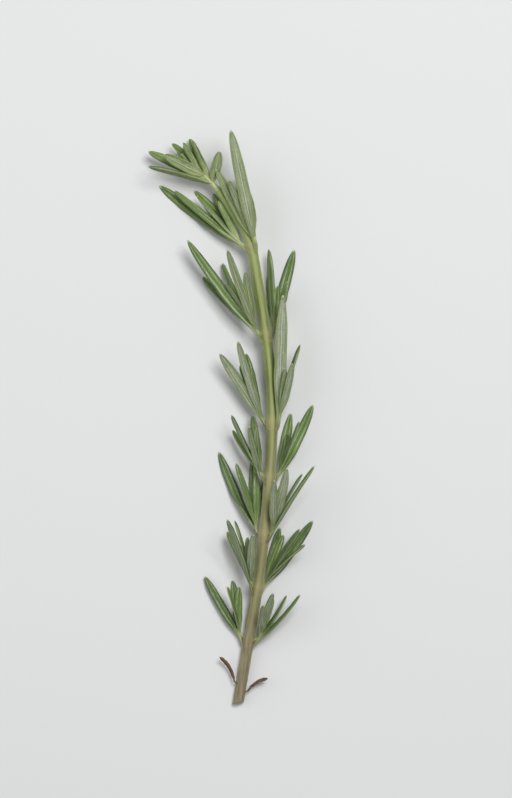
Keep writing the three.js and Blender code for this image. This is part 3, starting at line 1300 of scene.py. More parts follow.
@dataclass(frozen=True)
class LeafFinish:
    """Green above with a groove, grey felt below between green rolled edges, and a pale foot and tip.

    Each colour is named for its place. A band says at which value a colour starts to show, and at which it
    shows in full.

    Attributes:
        grain: The shared streaks.
        felt_band: The felt after the upper face, by the mark that tells them apart.
        fold_band: The rolled edge after the felt, by the same mark.
        edge_band: The deeper green towards the edge, by the share of half the width.
        groove_band: The groove towards the middle line, likewise.
        rib_band: The midrib, likewise.
        crease_shade_bands: Painted shade in the creases beside the midrib, from its one side and its other,
            and at the edge.
        youth_band: A young leaf's foot, by how young it is.
        foot_reach: How far up the leaf the pale foot reaches, and how much further on the youngest leaf.
        foot_band: The pale foot, by the share of that reach.
        root_band: The stem's colour, by the place along the leaf.
        tip_band: The pale tip, likewise.
        cut_band: The colour of the stem near the cut, by the place along the sprig, in metres.
        pore_band: The middle range of the mottling.
        broad: How many broad streaks there are to half a width, and their length.
        fine: The same of the fine ones.
        pores: The scale and the detail of the mottling.
        roughness: The least of the upper face, what its fine streaks add, and that of the felt.
        wax: The clear coat of the upper face, and how rough it is.
        relief: The strength and the depth of the fine relief, and the streaks' share of it above and below.
    """

    grain: Grain
    deep: Colour = linear(34, 50, 24)
    fresh: Colour = linear(104, 130, 66)
    young_deep: Colour = linear(98, 126, 50)
    young: Colour = linear(170, 190, 110)
    groove: Colour = linear(104, 140, 46)
    edge: Colour = linear(62, 82, 44)
    foot: Colour = linear(150, 160, 108)
    young_foot: Colour = linear(184, 194, 138)
    felt_low: Colour = linear(116, 124, 108)
    felt_high: Colour = linear(190, 194, 180)
    fresh_low: Colour = linear(94, 118, 56)
    fresh_high: Colour = linear(172, 188, 122)
    # Painted shade for the creases of the felt, beside the midrib and near the rolled edge.
    crease_shade: Colour = linear(104, 114, 88)
    rib: Colour = linear(196, 200, 170)
    rolled: Colour = linear(144, 162, 108)
    tip: Colour = linear(196, 198, 158)
    root: Colour = linear(142, 152, 92)
    old_root: Colour = linear(146, 136, 98)
    felt_band: Pair = (0.15, 0.45)
    fold_band: Pair = (0.85, 0.65)
    edge_band: Pair = (0.72, 0.98)
    groove_band: Pair = (0.2, 0.04)
    rib_band: Pair = (0.11, 0.04)
    crease_shade_bands: tuple[Pair, Pair, Pair] = ((0.08, 0.14), (0.24, 0.16), (0.56, 0.68))
    youth_band: Pair = (0.1, 0.6)
    foot_reach: Pair = (0.2, 0.6)
    foot_band: Pair = (1.0, -0.1)
    root_band: Pair = (0.0, -0.55)
    tip_band: Pair = (0.965, 0.995)
    cut_band: Pair = (0.02, -0.03)
    pore_band: Pair = (0.3, 0.7)
    broad: Pair = (1.6, 9.0)
    fine: Pair = (10.0, 4.0)
    pores: Pair = (2600.0, 3.0)
    roughness: tuple[float, float, float] = (0.34, 0.1, 0.92)
    wax: Pair = (0.3, 0.25)
    relief: tuple[float, float, float, float] = (0.7, 0.00012, 0.3, 1.4)

    def material(self) -> bpy.types.Material:
        """Wire the leaf's material from its marks, with the stem's colour where it grows from the stem.

        Returns:
            The material.
        """
        material, sheet = new_material("rosemary_leaf")
        across, run, under = sheet.marks("blade")
        tone, youth, t = sheet.marks("growth")
        place = sheet.place()
        broad = self.grain.streaks(sheet, across, run, *self.broad, tone)
        fine = self.grain.streaks(sheet, across, run, *self.fine, tone)
        pores = sheet.noise(place, *self.pores)
        leaf = LeafMarks(sheet.math("ABSOLUTE", across), under, tone, youth, broad, fine, pores)

        felted = sheet.step(under, *self.felt_band)
        least, further = self.foot_reach
        reach = sheet.math("DIVIDE", t, sheet.math("MULTIPLY_ADD", youth, further, least))
        foot = sheet.mix(sheet.step(youth, *self.youth_band), self.foot, self.young_foot)
        stem = sheet.mix(sheet.step(sheet.parted(place)[1], *self.cut_band), self.root, self.old_root)
        colour = sheet.paint(
            sheet.mix(felted, self.upper(sheet, leaf), self.felt(sheet, leaf)),
            (sheet.step(reach, *self.foot_band), 0.75, foot),
            (sheet.step(t, *self.root_band), 0.85, stem),
            (sheet.step(t, *self.tip_band), 0.7, self.tip),
        )
        strength, depth, above, below = self.relief
        fibres = sheet.math("MULTIPLY", fine, sheet.math("MULTIPLY_ADD", felted, below, above))
        smooth, streaked, matt = self.roughness
        gloss = sheet.math("MULTIPLY_ADD", fine, streaked, smooth)
        wax, wax_roughness = self.wax
        finish_surface(sheet, {
            "Base Color": colour,
            "Roughness": sheet.add("Mix", {0: felted, 2: gloss, 3: matt}).outputs[0],
            "Normal": sheet.bump(sheet.math("ADD", fibres, pores), strength, depth),
            "Coat Weight": sheet.math("MULTIPLY_ADD", felted, -wax, wax),
            "Coat Roughness": wax_roughness,
        })
        return material

    def upper(self, sheet: Sheet, leaf: LeafMarks) -> Socket:
        """Colour the upper face: greens by leaf and streak, a pale groove and deeper edges.

        Args:
            sheet: The sheet to wire on.
            leaf: What the colours are made from.

        Returns:
            The colour.
        """
        shade = sheet.math("MULTIPLY_ADD", leaf.broad, 0.36, sheet.math("MULTIPLY", leaf.tone, 0.5))
        shade = sheet.math("MULTIPLY_ADD", leaf.fine, 0.24, shade, clamp=True)
        return sheet.paint(
            sheet.mix(shade, self.deep, self.fresh),
            (leaf.youth, 0.9, sheet.mix(shade, self.young_deep, self.young)),
            (sheet.step(leaf.offset, *self.edge_band), 0.6, self.edge),
            (sheet.step(leaf.offset, *self.groove_band), 0.75, self.groove),
        )

    def felt(self, sheet: Sheet, leaf: LeafMarks) -> Socket:
        """Colour the underside: mottled pale fibres, a paler midrib, and painted shade in the creases
        beside it and outside.

        Args:
            sheet: The sheet to wire on.
            leaf: What the colours are made from.

        Returns:
            The colour.
        """
        shade = sheet.math("MULTIPLY_ADD", leaf.fine, 0.4, sheet.math("MULTIPLY", leaf.broad, 0.3))
        shade = sheet.math("MULTIPLY_ADD", sheet.step(leaf.pores, *self.pore_band), 0.35, shade)
        own = sheet.math("FRACT", sheet.math("MULTIPLY", leaf.tone, 7.3))
        greener = sheet.math("MULTIPLY_ADD", own, 0.4, sheet.math("MULTIPLY", leaf.youth, 0.95), clamp=True)
        # Painted shade: darker lines in the creases beside the midrib and near the rolled edge, weaker on
        # young leaves.
        near, far, edge = (sheet.step(leaf.offset, *band) for band in self.crease_shade_bands)
        crease_shade_mask = sheet.math("MAXIMUM", sheet.math("MULTIPLY", near, far), edge)
        pale = sheet.mix(shade, self.felt_low, self.felt_high)
        felt = sheet.paint(
            sheet.mix(greener, pale, sheet.mix(shade, self.fresh_low, self.fresh_high)),
            (crease_shade_mask, sheet.math("MULTIPLY_ADD", leaf.youth, -0.5, 0.6), self.crease_shade),
            (sheet.step(leaf.offset, *self.rib_band), 0.8, self.rib),
        )
        rolled = sheet.paint(self.rolled, (leaf.fine, 0.3, self.edge))
        return sheet.mix(sheet.step(leaf.under, *self.fold_band), felt, rolled)


@dataclass(frozen=True)
class StemFinish:
    """Yellow-green with a painted highlight on its corner ridges, tan in places further down and barked
    towards the cut.

    Attributes:
        grain: The shared streaks.
        fresh_band: The fresher green towards the tip, by the place along the stem.
        older_band: The tan towards the cut, likewise.
        face_band: The cut face, by the mark that grows towards its middle.
        pith_band: The pith in it, likewise.
        streaks: For three sizes of streaks, how many there are to half a turn, and their length.
        roughness: The least, and what the fine streaks add.
        relief: The strength and the depth of the fine relief.
        sheen: Of the down that is too fine to be hairs.
    """

    grain: Grain
    green: Colour = linear(140, 151, 80)
    shade: Colour = linear(88, 104, 48)
    # Painted highlight: a paler colour on the stem's four corner ridges.
    ridge_highlight: Colour = linear(178, 185, 120)
    fresh: Colour = linear(158, 176, 108)
    older: Colour = linear(150, 136, 104)
    furrow: Colour = linear(84, 72, 50)
    bark: Colour = linear(158, 144, 114)
    joint: Colour = linear(168, 156, 116)
    wood: Colour = linear(208, 198, 160)
    pith: Colour = linear(230, 226, 204)
    fresh_band: Pair = (112.0, 140.0)
    older_band: Pair = (96.0, 50.0)
    face_band: Pair = (0.02, 0.2)
    pith_band: Pair = (0.75, 0.95)
    streaks: tuple[Pair, ...] = ((5.0, 14.0), (16.0, 7.0), (45.0, 2.5))
    roughness: Pair = (0.5, 0.2)
    relief: Pair = (0.5, 0.0001)
    sheen: float = 0.15

    def material(self) -> bpy.types.Material:
        """Wire the stem's material from its marks.

        Returns:
            The material.
        """
        material, sheet = new_material("rosemary_stem")
        turn, run, corner = sheet.marks("blade")
        joint, bark, cut = sheet.marks("growth")
        broad, middle, fine = (self.grain.streaks(sheet, turn, run, *size) for size in self.streaks)
        shade = sheet.math("MULTIPLY_ADD", broad, 0.55, sheet.math("MULTIPLY", middle, 0.45))
        aged = sheet.math("MULTIPLY_ADD", broad, 0.7, 0.15)
        skin = sheet.paint(
            sheet.mix(shade, self.shade, self.green),
            # Painted highlight on the four corners of the stem.
            (corner, 0.55, self.ridge_highlight),
            (sheet.step(run, *self.fresh_band), 0.6, self.fresh),
            (sheet.step(run, *self.older_band), aged, self.older),
            (joint, 0.65, self.joint),
            (bark, 0.85, sheet.mix(middle, self.furrow, self.bark)),
        )
        face = sheet.mix(sheet.step(cut, *self.pith_band), self.wood, self.pith)
        smooth, streaked = self.roughness
        finish_surface(sheet, {
            "Base Color": sheet.mix(sheet.step(cut, *self.face_band), skin, face),
            "Roughness": sheet.math("MULTIPLY_ADD", fine, streaked, smooth),
            "Normal": sheet.bump(sheet.math("MULTIPLY_ADD", middle, 0.8, fine), *self.relief),
            "Sheen Weight": self.sheen,
        })
        return material


@dataclass(frozen=True)
class DownFinish:
    """Fine pale hairs.

    Attributes:
        pale: Their colour.
        darker: How much of it the darkest have.
        mottle: The scale and the detail of the change from one to the other.
        roughness: How matt they are.
    """

    pale: Colour = linear(206, 210, 178)
    darker: float = 0.7
    mottle: Pair = (400.0, 2.0)
    roughness: float = 0.7

    def material(self) -> bpy.types.Material:
        """Wire the hairs' material, with a faint change from place to place.

        Returns:
            The material.
        """
        material, sheet = new_material("stem_down")
        noise = sheet.noise(sheet.place(), *self.mottle)
        dark = (*(channel * self.darker for channel in self.pale[:3]), 1.0)
        colour = sheet.mix(noise, dark, self.pale)
        finish_surface(sheet, {"Base Color": colour, "Roughness": self.roughness})
        return material


@dataclass(frozen=True)
class WitheredFinish:
    """Dry and brown.

    Attributes:
        grain: The shared streaks.
        dark: The colour between the streaks.
        pale: The colour of the streaks.
        streaks: How many there are to half a width, and their length.
        roughness: The least, and what the streaks add.
        relief: The strength and the depth of the fine relief.
    """

    grain: Grain
    dark: Colour = linear(58, 44, 36)
    pale: Colour = linear(132, 106, 76)
    streaks: Pair = (5.0, 1.5)
    roughness: Pair = (0.8, 0.15)
    relief: Pair = (0.6, 0.0002)

    def material(self) -> bpy.types.Material:
        """Wire the withered leaf's material from its marks.

        Returns:
            The material.
        """
        material, sheet = new_material("withered_leaf")
        across, run, _ = sheet.marks("blade")
        fine = self.grain.streaks(sheet, across, run, *self.streaks)
        smooth, streaked = self.roughness
        finish_surface(sheet, {
            "Base Color": sheet.mix(fine, self.dark, self.pale),
            "Roughness": sheet.math("MULTIPLY_ADD", fine, streaked, smooth),
            "Normal": sheet.bump(fine, *self.relief),
        })
        return material


# ---------- sub-assemblies ----------


@dataclass
class Stem:
    """The stem from its cut end to the foot of the shoot tip, with its ribs, joints and down.

    Attributes:
        line: Its line and thickness.
        rings: Rings along it.
        around: Points round it.
        inside: How far it stays inside its solid, as a share of the radius.
        rib: Depth of the fine ribs.
        rib_waves: Their numbers round the stem, how far they drift along it, and their shares.
        knot: Height of the knots of the bark.
        knot_waves: Their numbers round the stem, and how quickly they follow each other along it.
        joint_drop: How far below a pair's place its raised joint line is.
        joint_wave: How far that line rises and falls on its way round.
        joint_height: How far it stands out.
        joint_reach: Half its breadth.
        joint_stain: How far along the stem the joints' colour reaches, and how strong it is.
        cap: Rings on the cut face, as shares of the radius.
        slant: How far the cut runs along the stem for each millimetre across it, and where that has
            eased off.
        dish: How far the cut face stands out in its middle and its three lobes.
        rim: How much less the cut face's mark is at its rim than in its middle.
        woody: Where the bark starts to thin, and where it ends.
        end: How long the part is that narrows into the shoot tip, and the share of the radius left there.
        hairs: How many hairs its down has.
        hair: The shortest and the longest hair.
        hair_radius: Of a hair's foot.
        hair_depth: How deep in the skin it starts.
        hair_lean: The least and the most that it leans forward.
        hair_stray: How far it leans by chance.
        bare: How much of each end of the stem has no hairs.
    """

    line: StemLine
    rings: int = 460
    around: int = 48
    inside: float = 0.02
    rib: float = 0.045
    rib_waves: tuple[tuple[float, float, float], ...] = ((11, 0.05, 1.0), (23, -0.09, 0.6))
    knot: float = 0.035
    knot_waves: tuple[Pair, ...] = ((5, 1.9), (2, 0.7))
    joint_drop: float = 1.5
    joint_wave: float = 0.45
    joint_height: float = 0.1
    joint_reach: float = 0.28
    joint_stain: Pair = (1.3, 0.7)
    cap: tuple[float, ...] = (0.05, 0.3, 0.55, 0.8, 0.95)
    slant: Pair = (0.35, 6.0)
    dish: float = 0.12
    rim: float = 0.9
    woody: Pair = (8.0, 40.0)
    end: Pair = (3.0, 0.8)
    hairs: int = 9000
    hair: Pair = (0.1, 0.26)
    hair_radius: float = 0.014
    hair_depth: float = 0.03
    hair_lean: Pair = (0.1, 0.9)
    hair_stray: float = 0.25
    bare: float = 1.0

    def joints(self, s: Array, turn: Array) -> Array:
        """Return 1 on the raised lines and 0 off them: bells round lines that wave twice round the stem.

        Args:
            s: Distances along the stem.
            turn: Directions round it.

        Returns:
            A number for each.
        """
        bells = []
        for at, (side, _), _ in PAIRS:
            leaf_turn = np.radians(90 - side)
            middle = at - self.joint_drop + self.joint_wave * np.cos(2 * (turn - leaf_turn))
            bells.append(bell((s - middle) / self.joint_reach))
        return np.max(bells, axis=0)

    def bark(self, s: Array) -> Array:
        """Return 1 where the stem is barked and 0 where it is green."""
        return 1 - ease(*self.woody, s)

    def radius(self, s: Array, turn: Array) -> Array:
        """Return the radius at s in the direction turn, which is 0 at the top and grows to the right.

        It is the line's radius, times 1 plus the squareness at the four corners, less the ribs, which are
        waves round the stem, plus the joint lines and the knots of the bark.

        Args:
            s: Distances along the stem.
            turn: Directions round it.

        Returns:
            The radius of each.
        """
        ribs = sum(share * np.sin(count * turn + drift * s) for count, drift, share in self.rib_waves)
        one, other = (np.sin(count * turn + pace * s) for count, pace in self.knot_waves)
        square = self.line.radius_at(s) * (1 + self.line.squareness * np.cos(4 * turn) - self.inside)
        bumps = self.rib * (ribs * 0.5 - 0.5) + self.knot * self.bark(s) * (one * other - 0.5)
        long, left = self.end
        narrowed = 1 - (1 - left) * ease(self.line.length - long, self.line.length, s)
        return (square + bumps + self.joint_height * self.joints(s, turn)) * narrowed

    def skin(self) -> Skin:
        """Carry the radius along the stem's line, and close the slanted cut with shrinking rings.

        Returns:
            The stem, with the marks blade (turn, run, corner) and growth (joint, bark, cut face).
        """
        line = self.line
        share = np.concatenate([self.cap, np.ones(self.rings)])[:, None]
        s = np.concatenate([np.zeros(len(self.cap)), np.linspace(0, line.length, self.rings)])[:, None]
        turn = np.linspace(0, 2 * np.pi, self.around, endpoint=False)[None]
        radius = self.radius(s, turn) * share
        along, right, up = line.axes(s[:, 0])
        slope, eased_off = self.slant
        slant = slope * radius * np.sin(turn) * (1 - ease(0, eased_off, s))
        dish = self.dish * (1 - share) * (1 + np.cos(3 * turn))
        rings = (
            line.point(s[:, 0])[:, None]
            + right[:, None] * (radius * np.sin(turn))[..., None]
            + up[:, None] * (radius * np.cos(turn))[..., None]
            + along[:, None] * (slant + dish)[..., None]
        )
        ends = np.stack([line.point(0.0) + along[0] * 2 * self.dish, line.point(line.length)])
        reach, strength = self.joint_stain
        above = np.max([bell((s - at) / reach) for at in line.pairs], axis=0)
        joint = np.maximum(self.joints(s, turn), strength * above)
        cut = np.where((s == 0) & (share < 1), 1 - share * self.rim, 0.0)
        corner = 0.5 + 0.5 * np.cos(4 * turn)
        marks = {
            "blade": (beside(turn / np.pi - 1, s, corner), np.array([[0, 0, 0], [0, line.length, 0]])),
            "growth": (beside(joint, self.bark(s), cut), np.array([[0, 1, 1], [0, 0, 0]])),
        }
        return tubes(rings[None], ends[None], marks)

    def down(self, seed: int = 5) -> Skin:
        """Scatter three-sided hairs over the stem, each leaning forward and a little by chance.

        Args:
            seed: The start of the chance.

        Returns:
            The hairs as one skin.
        """
        rng = np.random.default_rng(seed)
        s = rng.uniform(self.bare, self.line.length - self.bare, self.hairs)
        turn = rng.uniform(0, 2 * np.pi, self.hairs)
        length = rng.uniform(*self.hair, self.hairs)
        along, right, up = self.line.axes(s)
        out = right * np.sin(turn)[:, None] + up * np.cos(turn)[:, None]
        foot = self.line.point(s) + out * (self.radius(s, turn) - self.hair_depth)[:, None]
        forward = rng.uniform(*self.hair_lean, (self.hairs, 1))
        lean = along * forward + rng.normal(0, self.hair_stray, (self.hairs, 3))
        tip = foot + unit(out + lean) * (length + self.hair_depth)[:, None]
        sideways = np.cross(out, along)
        angle = np.radians([90, -30, -150])[None, :, None]
        around = along[:, None] * np.sin(angle) + sideways[:, None] * np.cos(angle)
        rings = (foot[:, None] + around * self.hair_radius)[:, None]
        return tubes(rings, np.stack([foot, tip], 1), {})

    def build(self, material: bpy.types.Material, hair: bpy.types.Material) -> list[bpy.types.Object]:
        """Make the stem in the place of its solid, and its down.

        Args:
            material: The stem's finish.
            hair: The down's finish.

        Returns:
            The stem and the down.
        """
        return [
            make_piece("sprig_stem", self.skin(), material, "stem", "stem"),
            make_piece("stem_down", self.down(), hair, "stem"),
        ]


@dataclass
class SideCluster:
    """A leaf cluster on its side shoot.

    Attributes:
        cluster: Where it grows and what grows in it.
        line: The stem that it grows on.
        form: The shape of its leaves.
        gap: Between the stem and the solid that stands for the cluster.
        shoot: The shape of its shoot.
        shoot_height: How far over that gap the shoot leaves the stem.
        shoot_length: The part of the shoot that has leaves.
        shoot_splay: Degrees between the shoot and the stem.
        shoot_drop: How far below the cluster's place the shoot starts inside the stem.
        first_leaf: How far up the shoot the first leaf is, as a share of the way to the next.
        root_drop: How far below the cluster's place its outermost leaf starts.
        root_rise: How much higher the innermost leaf starts.
        root_depth: How deep in the stem the leaves start.
        root_fan: How far round the stem they start, as a share of how far round they stand.
        root_spread: The most degrees of it that count.
        young: How young the innermost leaf is, at the least.
        younger: What that grows by towards the tip of the sprig.
        young_from: Where it starts to grow, and where it has grown in full.
    """

    cluster: Cluster
    line: StemLine
    form: LeafForm
    gap: float = 0.35
    shoot: ShootForm = ShootForm(radius=0.5, length=2.6)
    shoot_height: float = 0.4
    shoot_length: float = 3.6
    shoot_splay: float = 20.0
    shoot_drop: float = 0.5
    first_leaf: float = 0.3
    root_drop: float = 3.0
    root_rise: float = 2.0
    root_depth: float = 0.65
    root_fan: float = 0.45
    root_spread: float = 70.0
    young: float = 0.3
    younger: float = 0.35
    young_from: Pair = (85, 135)

    @property
    def start(self) -> Array:
        """Where the side shoot leaves the stem.

        Returns:
            The point.
        """
        at = self.cluster.at
        out = self.line.outward(at, self.cluster.side)
        return self.line.point(at) + out * (self.line.radius_at(at) + self.gap + self.shoot_height)

    @property
    def axis(self) -> Array:
        """The direction of the side shoot.

        Returns:
            The direction.
        """
        lean = math.radians(self.shoot_splay)
        out = self.line.outward(self.cluster.at, self.cluster.side)
        return self.line.axes(self.cluster.at)[0] * math.cos(lean) + out * math.sin(lean)

    @property
    def youth(self) -> float:
        """How young the innermost leaves are: the younger, the nearer to the tip of the sprig."""
        return float(self.young + self.younger * ease(*self.young_from, self.cluster.at))

    def blades(self) -> Blades:
        """Grow the leaves from the side shoot, the outer ones lower down.

        Returns:
            The leaves.
        """
        rows = self.cluster.leaves
        share = (np.arange(len(rows)) + self.first_leaf) / len(rows)
        feet = self.start + self.axis * (self.shoot_length * share)[:, None]
        youth = np.sqrt(share) * self.youth
        at = np.full(len(rows), self.cluster.at)
        return grow(self.line, at, self.roots(share), feet, rows, self.cluster.seed, youth)

    def skin(self, blades: Blades) -> Skin:
        """Cover the settled leaves, and the shoot that they stand on.

        Args:
            blades: The leaves.

        Returns:
            Their surfaces and the shoot's.
        """
        root = self.line.point(self.cluster.at - self.shoot_drop)
        core = self.shoot.skin(root, self.start, self.axis, self.youth)
        return joined([self.form.skin(blades, self.cluster.seed), core])

    def roots(self, share: Array) -> Array:
        """Find where the leaves start: just inside the stem, fanned round it, the inner ones higher.

        Args:
            share: Each leaf's place in the cluster, from 0 for the outermost to 1.

        Returns:
            A point for each leaf.
        """
        sides = np.array([leaf.side for leaf in self.cluster.leaves], float)
        away = np.clip((sides - self.cluster.side + 180) % 360 - 180, -self.root_spread, self.root_spread)
        at = self.cluster.at - self.root_drop + self.root_rise * share
        out = self.line.outward(at, self.cluster.side + self.root_fan * away)
        return self.line.point(at) + out * (self.line.radius_at(at) - self.root_depth)[:, None]

    def build(self, blades: Blades, material: bpy.types.Material) -> bpy.types.Object:
        """Make the cluster from its settled leaves and put it in the place of its solid."""
        name = f"leaves_{self.cluster.order}_{self.cluster.hand.value}"
        return make_piece(name, self.skin(blades), material, "leaf", self.cluster.node)


@dataclass
class ShootTip:
    """The young leaves at the end of the stem.

    Attributes:
        line: The stem that they grow on.
        form: Their shape.
        gap: Between the stem and the solid that stands for the tip.
        shoot: The shape of the shoot that they stand on.
        shoot_youth: How young it looks.
        youth: How young the first leaf is, and how much younger the last.
        breadth: Their width, as a share of other leaves' of their length.
        sunk: How far below its foot the shoot starts inside the stem.
        root_drop: How far below its foot each leaf starts.
        seed: The start of their random series.
    """

    line: StemLine
    form: LeafForm
    gap: float = 0.35
    shoot: ShootForm = ShootForm(radius=0.9, length=7.5)
    shoot_youth: float = 0.6
    youth: Pair = (0.5, 0.4)
    breadth: float = 1.2
    sunk: float = 2.2
    root_drop: float = 1.2
    seed: int = 8

    @property
    def base(self) -> float:
        """How far along the line the young shoot starts."""
        return self.line.length + self.gap + self.shoot.radius

    def blades(self) -> Blades:
        """Grow the leaves one after another up the last of the stem's line.

        Returns:
            The leaves.
        """
        share = np.arange(len(TIP_LEAVES)) / len(TIP_LEAVES)
        at = self.base + self.shoot.length * share
        roots = self.line.point(at - self.root_drop)
        first, younger = self.youth
        feet = self.line.point(at)
        grown = grow(self.line, at, roots, feet, TIP_LEAVES, self.seed, first + younger * share)
        return replace(grown, width=grown.width * self.breadth)

    def skin(self, blades: Blades) -> Skin:
        """Cover the settled leaves, and the shoot that they stand on.

        Args:
            blades: The leaves.

        Returns:
            Their surfaces and the shoot's.
        """
        foot = self.line.point(self.base)
        axis = unit(self.line.point(self.base + self.shoot.length) - foot)
        core = self.shoot.skin(self.line.point(self.base - self.sunk), foot, axis, self.shoot_youth)
        return joined([self.form.skin(blades, self.seed), core])

    def build(self, blades: Blades, material: bpy.types.Material) -> bpy.types.Object:
        """Make the tip from its settled leaves and put it in the place of its solid."""
        return make_piece("young_tip", self.skin(blades), material, "leaf", "shoot_tip")


@dataclass
class Foliage:
    """All the leaves of the sprig, which make room for each other before they are built.

    Attributes:
        line: The stem that they grow on.
        form: Their shape.
        elbowroom: How they make room.
    """

    line: StemLine
    form: LeafForm
    elbowroom: Elbowroom = Elbowroom()

    def parts(self) -> list[SideCluster | ShootTip]:
        """List the leaf clusters from the cut end up, and the tip.

        Returns:
            The parts.
        """
        clusters = [
            SideCluster(Cluster(order, hand, at, side, rows), self.line, self.form)
            for order, (at, left, right) in enumerate(PAIRS, start=1)
            for hand, (side, rows) in ((Hand.LEFT, left), (Hand.RIGHT, right))
        ]
        return [*clusters, ShootTip(self.line, self.form)]

    def build(self, material: bpy.types.Material) -> list[bpy.types.Object]:
        """Grow every part's leaves, settle them together and make each part.

        Args:
            material: The leaves' finish.

        Returns:
            The pieces.
        """
        parts = self.parts()
        grown = [part.blades() for part in parts]
        names = [item.name for item in fields(Blades)]
        together = Blades(*(np.concatenate([getattr(group, name) for group in grown]) for name in names))
        settled, overlaps = self.elbowroom.settle(together, self.form, self.line)
        LOG.info("leaves: %d, of which pairs still overlap: %d", len(settled.length), overlaps)
        ends = np.cumsum([len(group.length) for group in grown])[:-1]
        columns = [np.split(getattr(settled, name), ends) for name in names]
        return [part.build(Blades(*column), material) for part, *column in zip(parts, *columns)]


@dataclass
class WitheredLeaf:
    """A dead leaf near the cut.

    Attributes:
        node: The name of the solid in the frame.
        at: Its place along the stem.
        leaf: Its row.
        seed: The start of its random series.
        line: The stem that it grows on.
        form: The shape that it had when it was fresh.
        gap: Between the stem and the solid that stands for it.
        stand: How far over that gap its foot is.
        root_drop: How far below its place it starts inside the stem.
        root_out: How far out from the stem's middle it starts, as a share of the radius at the cut.
        narrow: How much of its width it has left.
        curl: How far its middle stands out, as a share of its length.
    """

    node: str
    at: float
    leaf: Leaf
    seed: int
    line: StemLine
    form: LeafForm
    gap: float = 0.35
    stand: float = 0.45
    root_drop: float = 0.8
    root_out: float = 0.8
    narrow: float = 0.62
    curl: float = 0.11

    @property
    def shrivelled(self) -> LeafForm:
        """The leaf's shape after it has dried: thin, twisted and crumpled.

        Returns:
            The shape.
        """
        return replace(
            self.form, thickness=0.7, ripple=0.22, turn=(70.0, 1.5), pebble=0.07, level_off=(0.1, 0.9)
        )

    def skin(self) -> Skin:
        """Grow one narrow leaf from the side of the stem.

        Returns:
            The leaf.
        """
        out = self.line.outward(self.at, self.leaf.side)
        foot = self.line.point(self.at) + out * (self.line.radius_at(self.at) + self.gap + self.stand)
        root = self.line.point(self.at - self.root_drop) + out * self.root_out * self.line.radius
        at, youth = np.array([self.at]), np.zeros(1)
        blades = grow(self.line, at, root[None], foot[None], [self.leaf], self.seed, youth)
        shrunk = replace(blades, width=blades.width * self.narrow, bow=np.full(1, self.curl))
        return self.shrivelled.skin(shrunk, self.seed)

    def build(self, material: bpy.types.Material) -> bpy.types.Object:
        """Make the leaf and put it in the place of its solid."""
        return make_piece("dry_" + self.node, self.skin(), material, "withered_leaf", self.node)


@dataclass(frozen=True)
class Lamp:
    """A soft square light that points at the sprig.

    Attributes:
        name: Its name.
        place: Where it hangs, in metres.
        size: Its side, in metres.
        power: In watts.
    """

    name: str
    place: tuple[float, float, float]
    size: float
    power: float

    def hang(self) -> None:
        """Hang the light in its place."""
        data = bpy.data.lights.new(self.name, "AREA")
        data.shape = "SQUARE"
        data.size = self.size
        data.energy = self.power
        lamp = bpy.data.objects.new(self.name, data)
        lamp.location = self.place
        lamp.rotation_euler = Vector(self.place).to_track_quat("Z", "Y").to_euler()
        bpy.context.scene.collection.objects.link(lamp)


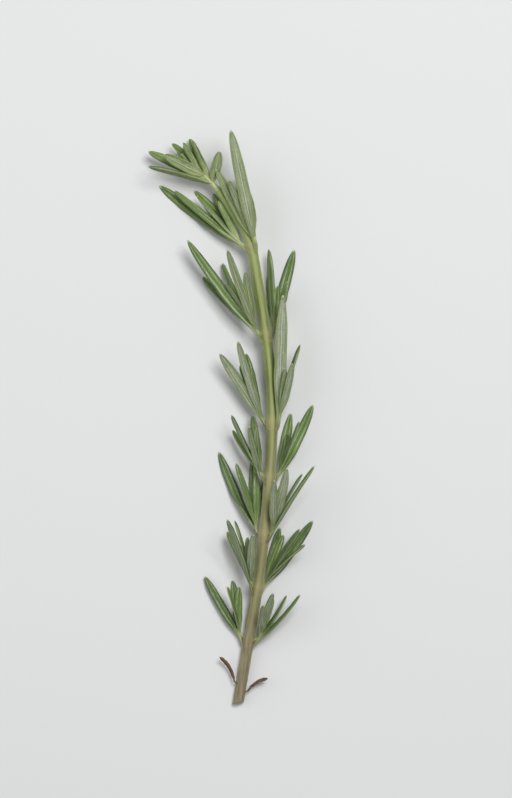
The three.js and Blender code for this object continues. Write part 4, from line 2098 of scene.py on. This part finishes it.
@dataclass
class Studio:
    """The table, the soft light and the camera that looks straight down.

    Attributes:
        middle: Where the camera looks, across and along the table.
        field_height: How much of the table it sees, from the lower to the upper edge of the view.
        lens: Its focal length.
        sensor: The long side of its sensor.
        focus_height: How far above the table the field is measured.
        table_half: Half the table's side, in metres.
        table_drop: How far the table lies under the sprig, in metres, so that the two don't share a face.
        table_colour: The table's colour.
        table_roughness: How matt it is.
        lamps: A light above, a little to the right, and a weaker, wider one on the left.
        room: How bright the white room is.
    """

    middle: Pair = (6.9, 5.3)
    field_height: float = 223.4
    lens: float = 220.0
    sensor: float = 36.0
    focus_height: float = 8.0
    table_half: float = 1.5
    table_drop: float = 0.00002
    table_colour: Colour = linear(214, 215, 215)
    table_roughness: float = 0.85
    lamps: tuple[Lamp, ...] = (
        Lamp("key", (0.22, 0.3, 0.93), 0.36, 8.0),
        Lamp("fill", (-0.62, 0.1, 0.55), 0.8, 2.0),
    )
    room: float = 0.26

    def build(self) -> None:
        """Make the table, the lights and the camera."""
        self.table()
        for lamp in self.lamps:
            lamp.hang()
        self.world()
        self.camera()

    def table(self) -> None:
        """Lay a plain pale table under the sprig."""
        material, sheet = new_material("pale_table")
        finish_surface(sheet, {"Base Color": self.table_colour, "Roughness": self.table_roughness})
        mesh = bpy.data.meshes.new("table")
        signs = ((-1, -1), (1, -1), (1, 1), (-1, 1))
        corners = [(x * self.table_half, y * self.table_half, -self.table_drop) for x, y in signs]
        mesh.from_pydata(corners, [], [(0, 1, 2, 3)])
        mesh.materials.append(material)
        floor = bpy.data.objects.new("table", mesh)
        bpy.context.scene.collection.objects.link(floor)

    def world(self) -> None:
        """Fill the room with an even white light."""
        world = bpy.data.worlds.new("room")
        world.use_nodes = True
        background = world.node_tree.nodes["Background"]
        background.inputs["Color"].default_value = (1.0, 1.0, 1.0, 1.0)
        background.inputs["Strength"].default_value = self.room
        bpy.context.scene.world = world

    def camera(self) -> None:
        """Look straight down, with the sprig's tip at the top of the view."""
        data = bpy.data.cameras.new("camera")
        data.lens = self.lens
        data.sensor_width = self.sensor
        camera = bpy.data.objects.new("camera", data)
        distance = self.field_height * self.lens / self.sensor
        camera.location = (self.middle[0] * MM, self.middle[1] * MM, (distance + self.focus_height) * MM)
        bpy.context.scene.collection.objects.link(camera)
        bpy.context.scene.camera = camera
        bpy.context.scene.view_settings.view_transform = "Standard"


def main() -> None:
    """Build the sprig and its surroundings in order."""
    logging.basicConfig(level=logging.INFO, format="%(name)s: %(message)s")
    Studio().build()
    line = StemLine()
    form = LeafForm()
    grain = Grain.made()
    pieces = Stem(line).build(StemFinish(grain).material(), DownFinish().material())
    pieces += Foliage(line, form).build(LeafFinish(grain).material())
    withered = WitheredFinish(grain).material()
    pieces += [WitheredLeaf(*row, line, form).build(withered) for row in WITHERED_LEAVES]
    for piece in pieces:
        LOG.info("%s: %d faces", piece.name, len(piece.data.polygons))


if __name__ == "__main__":
    main()
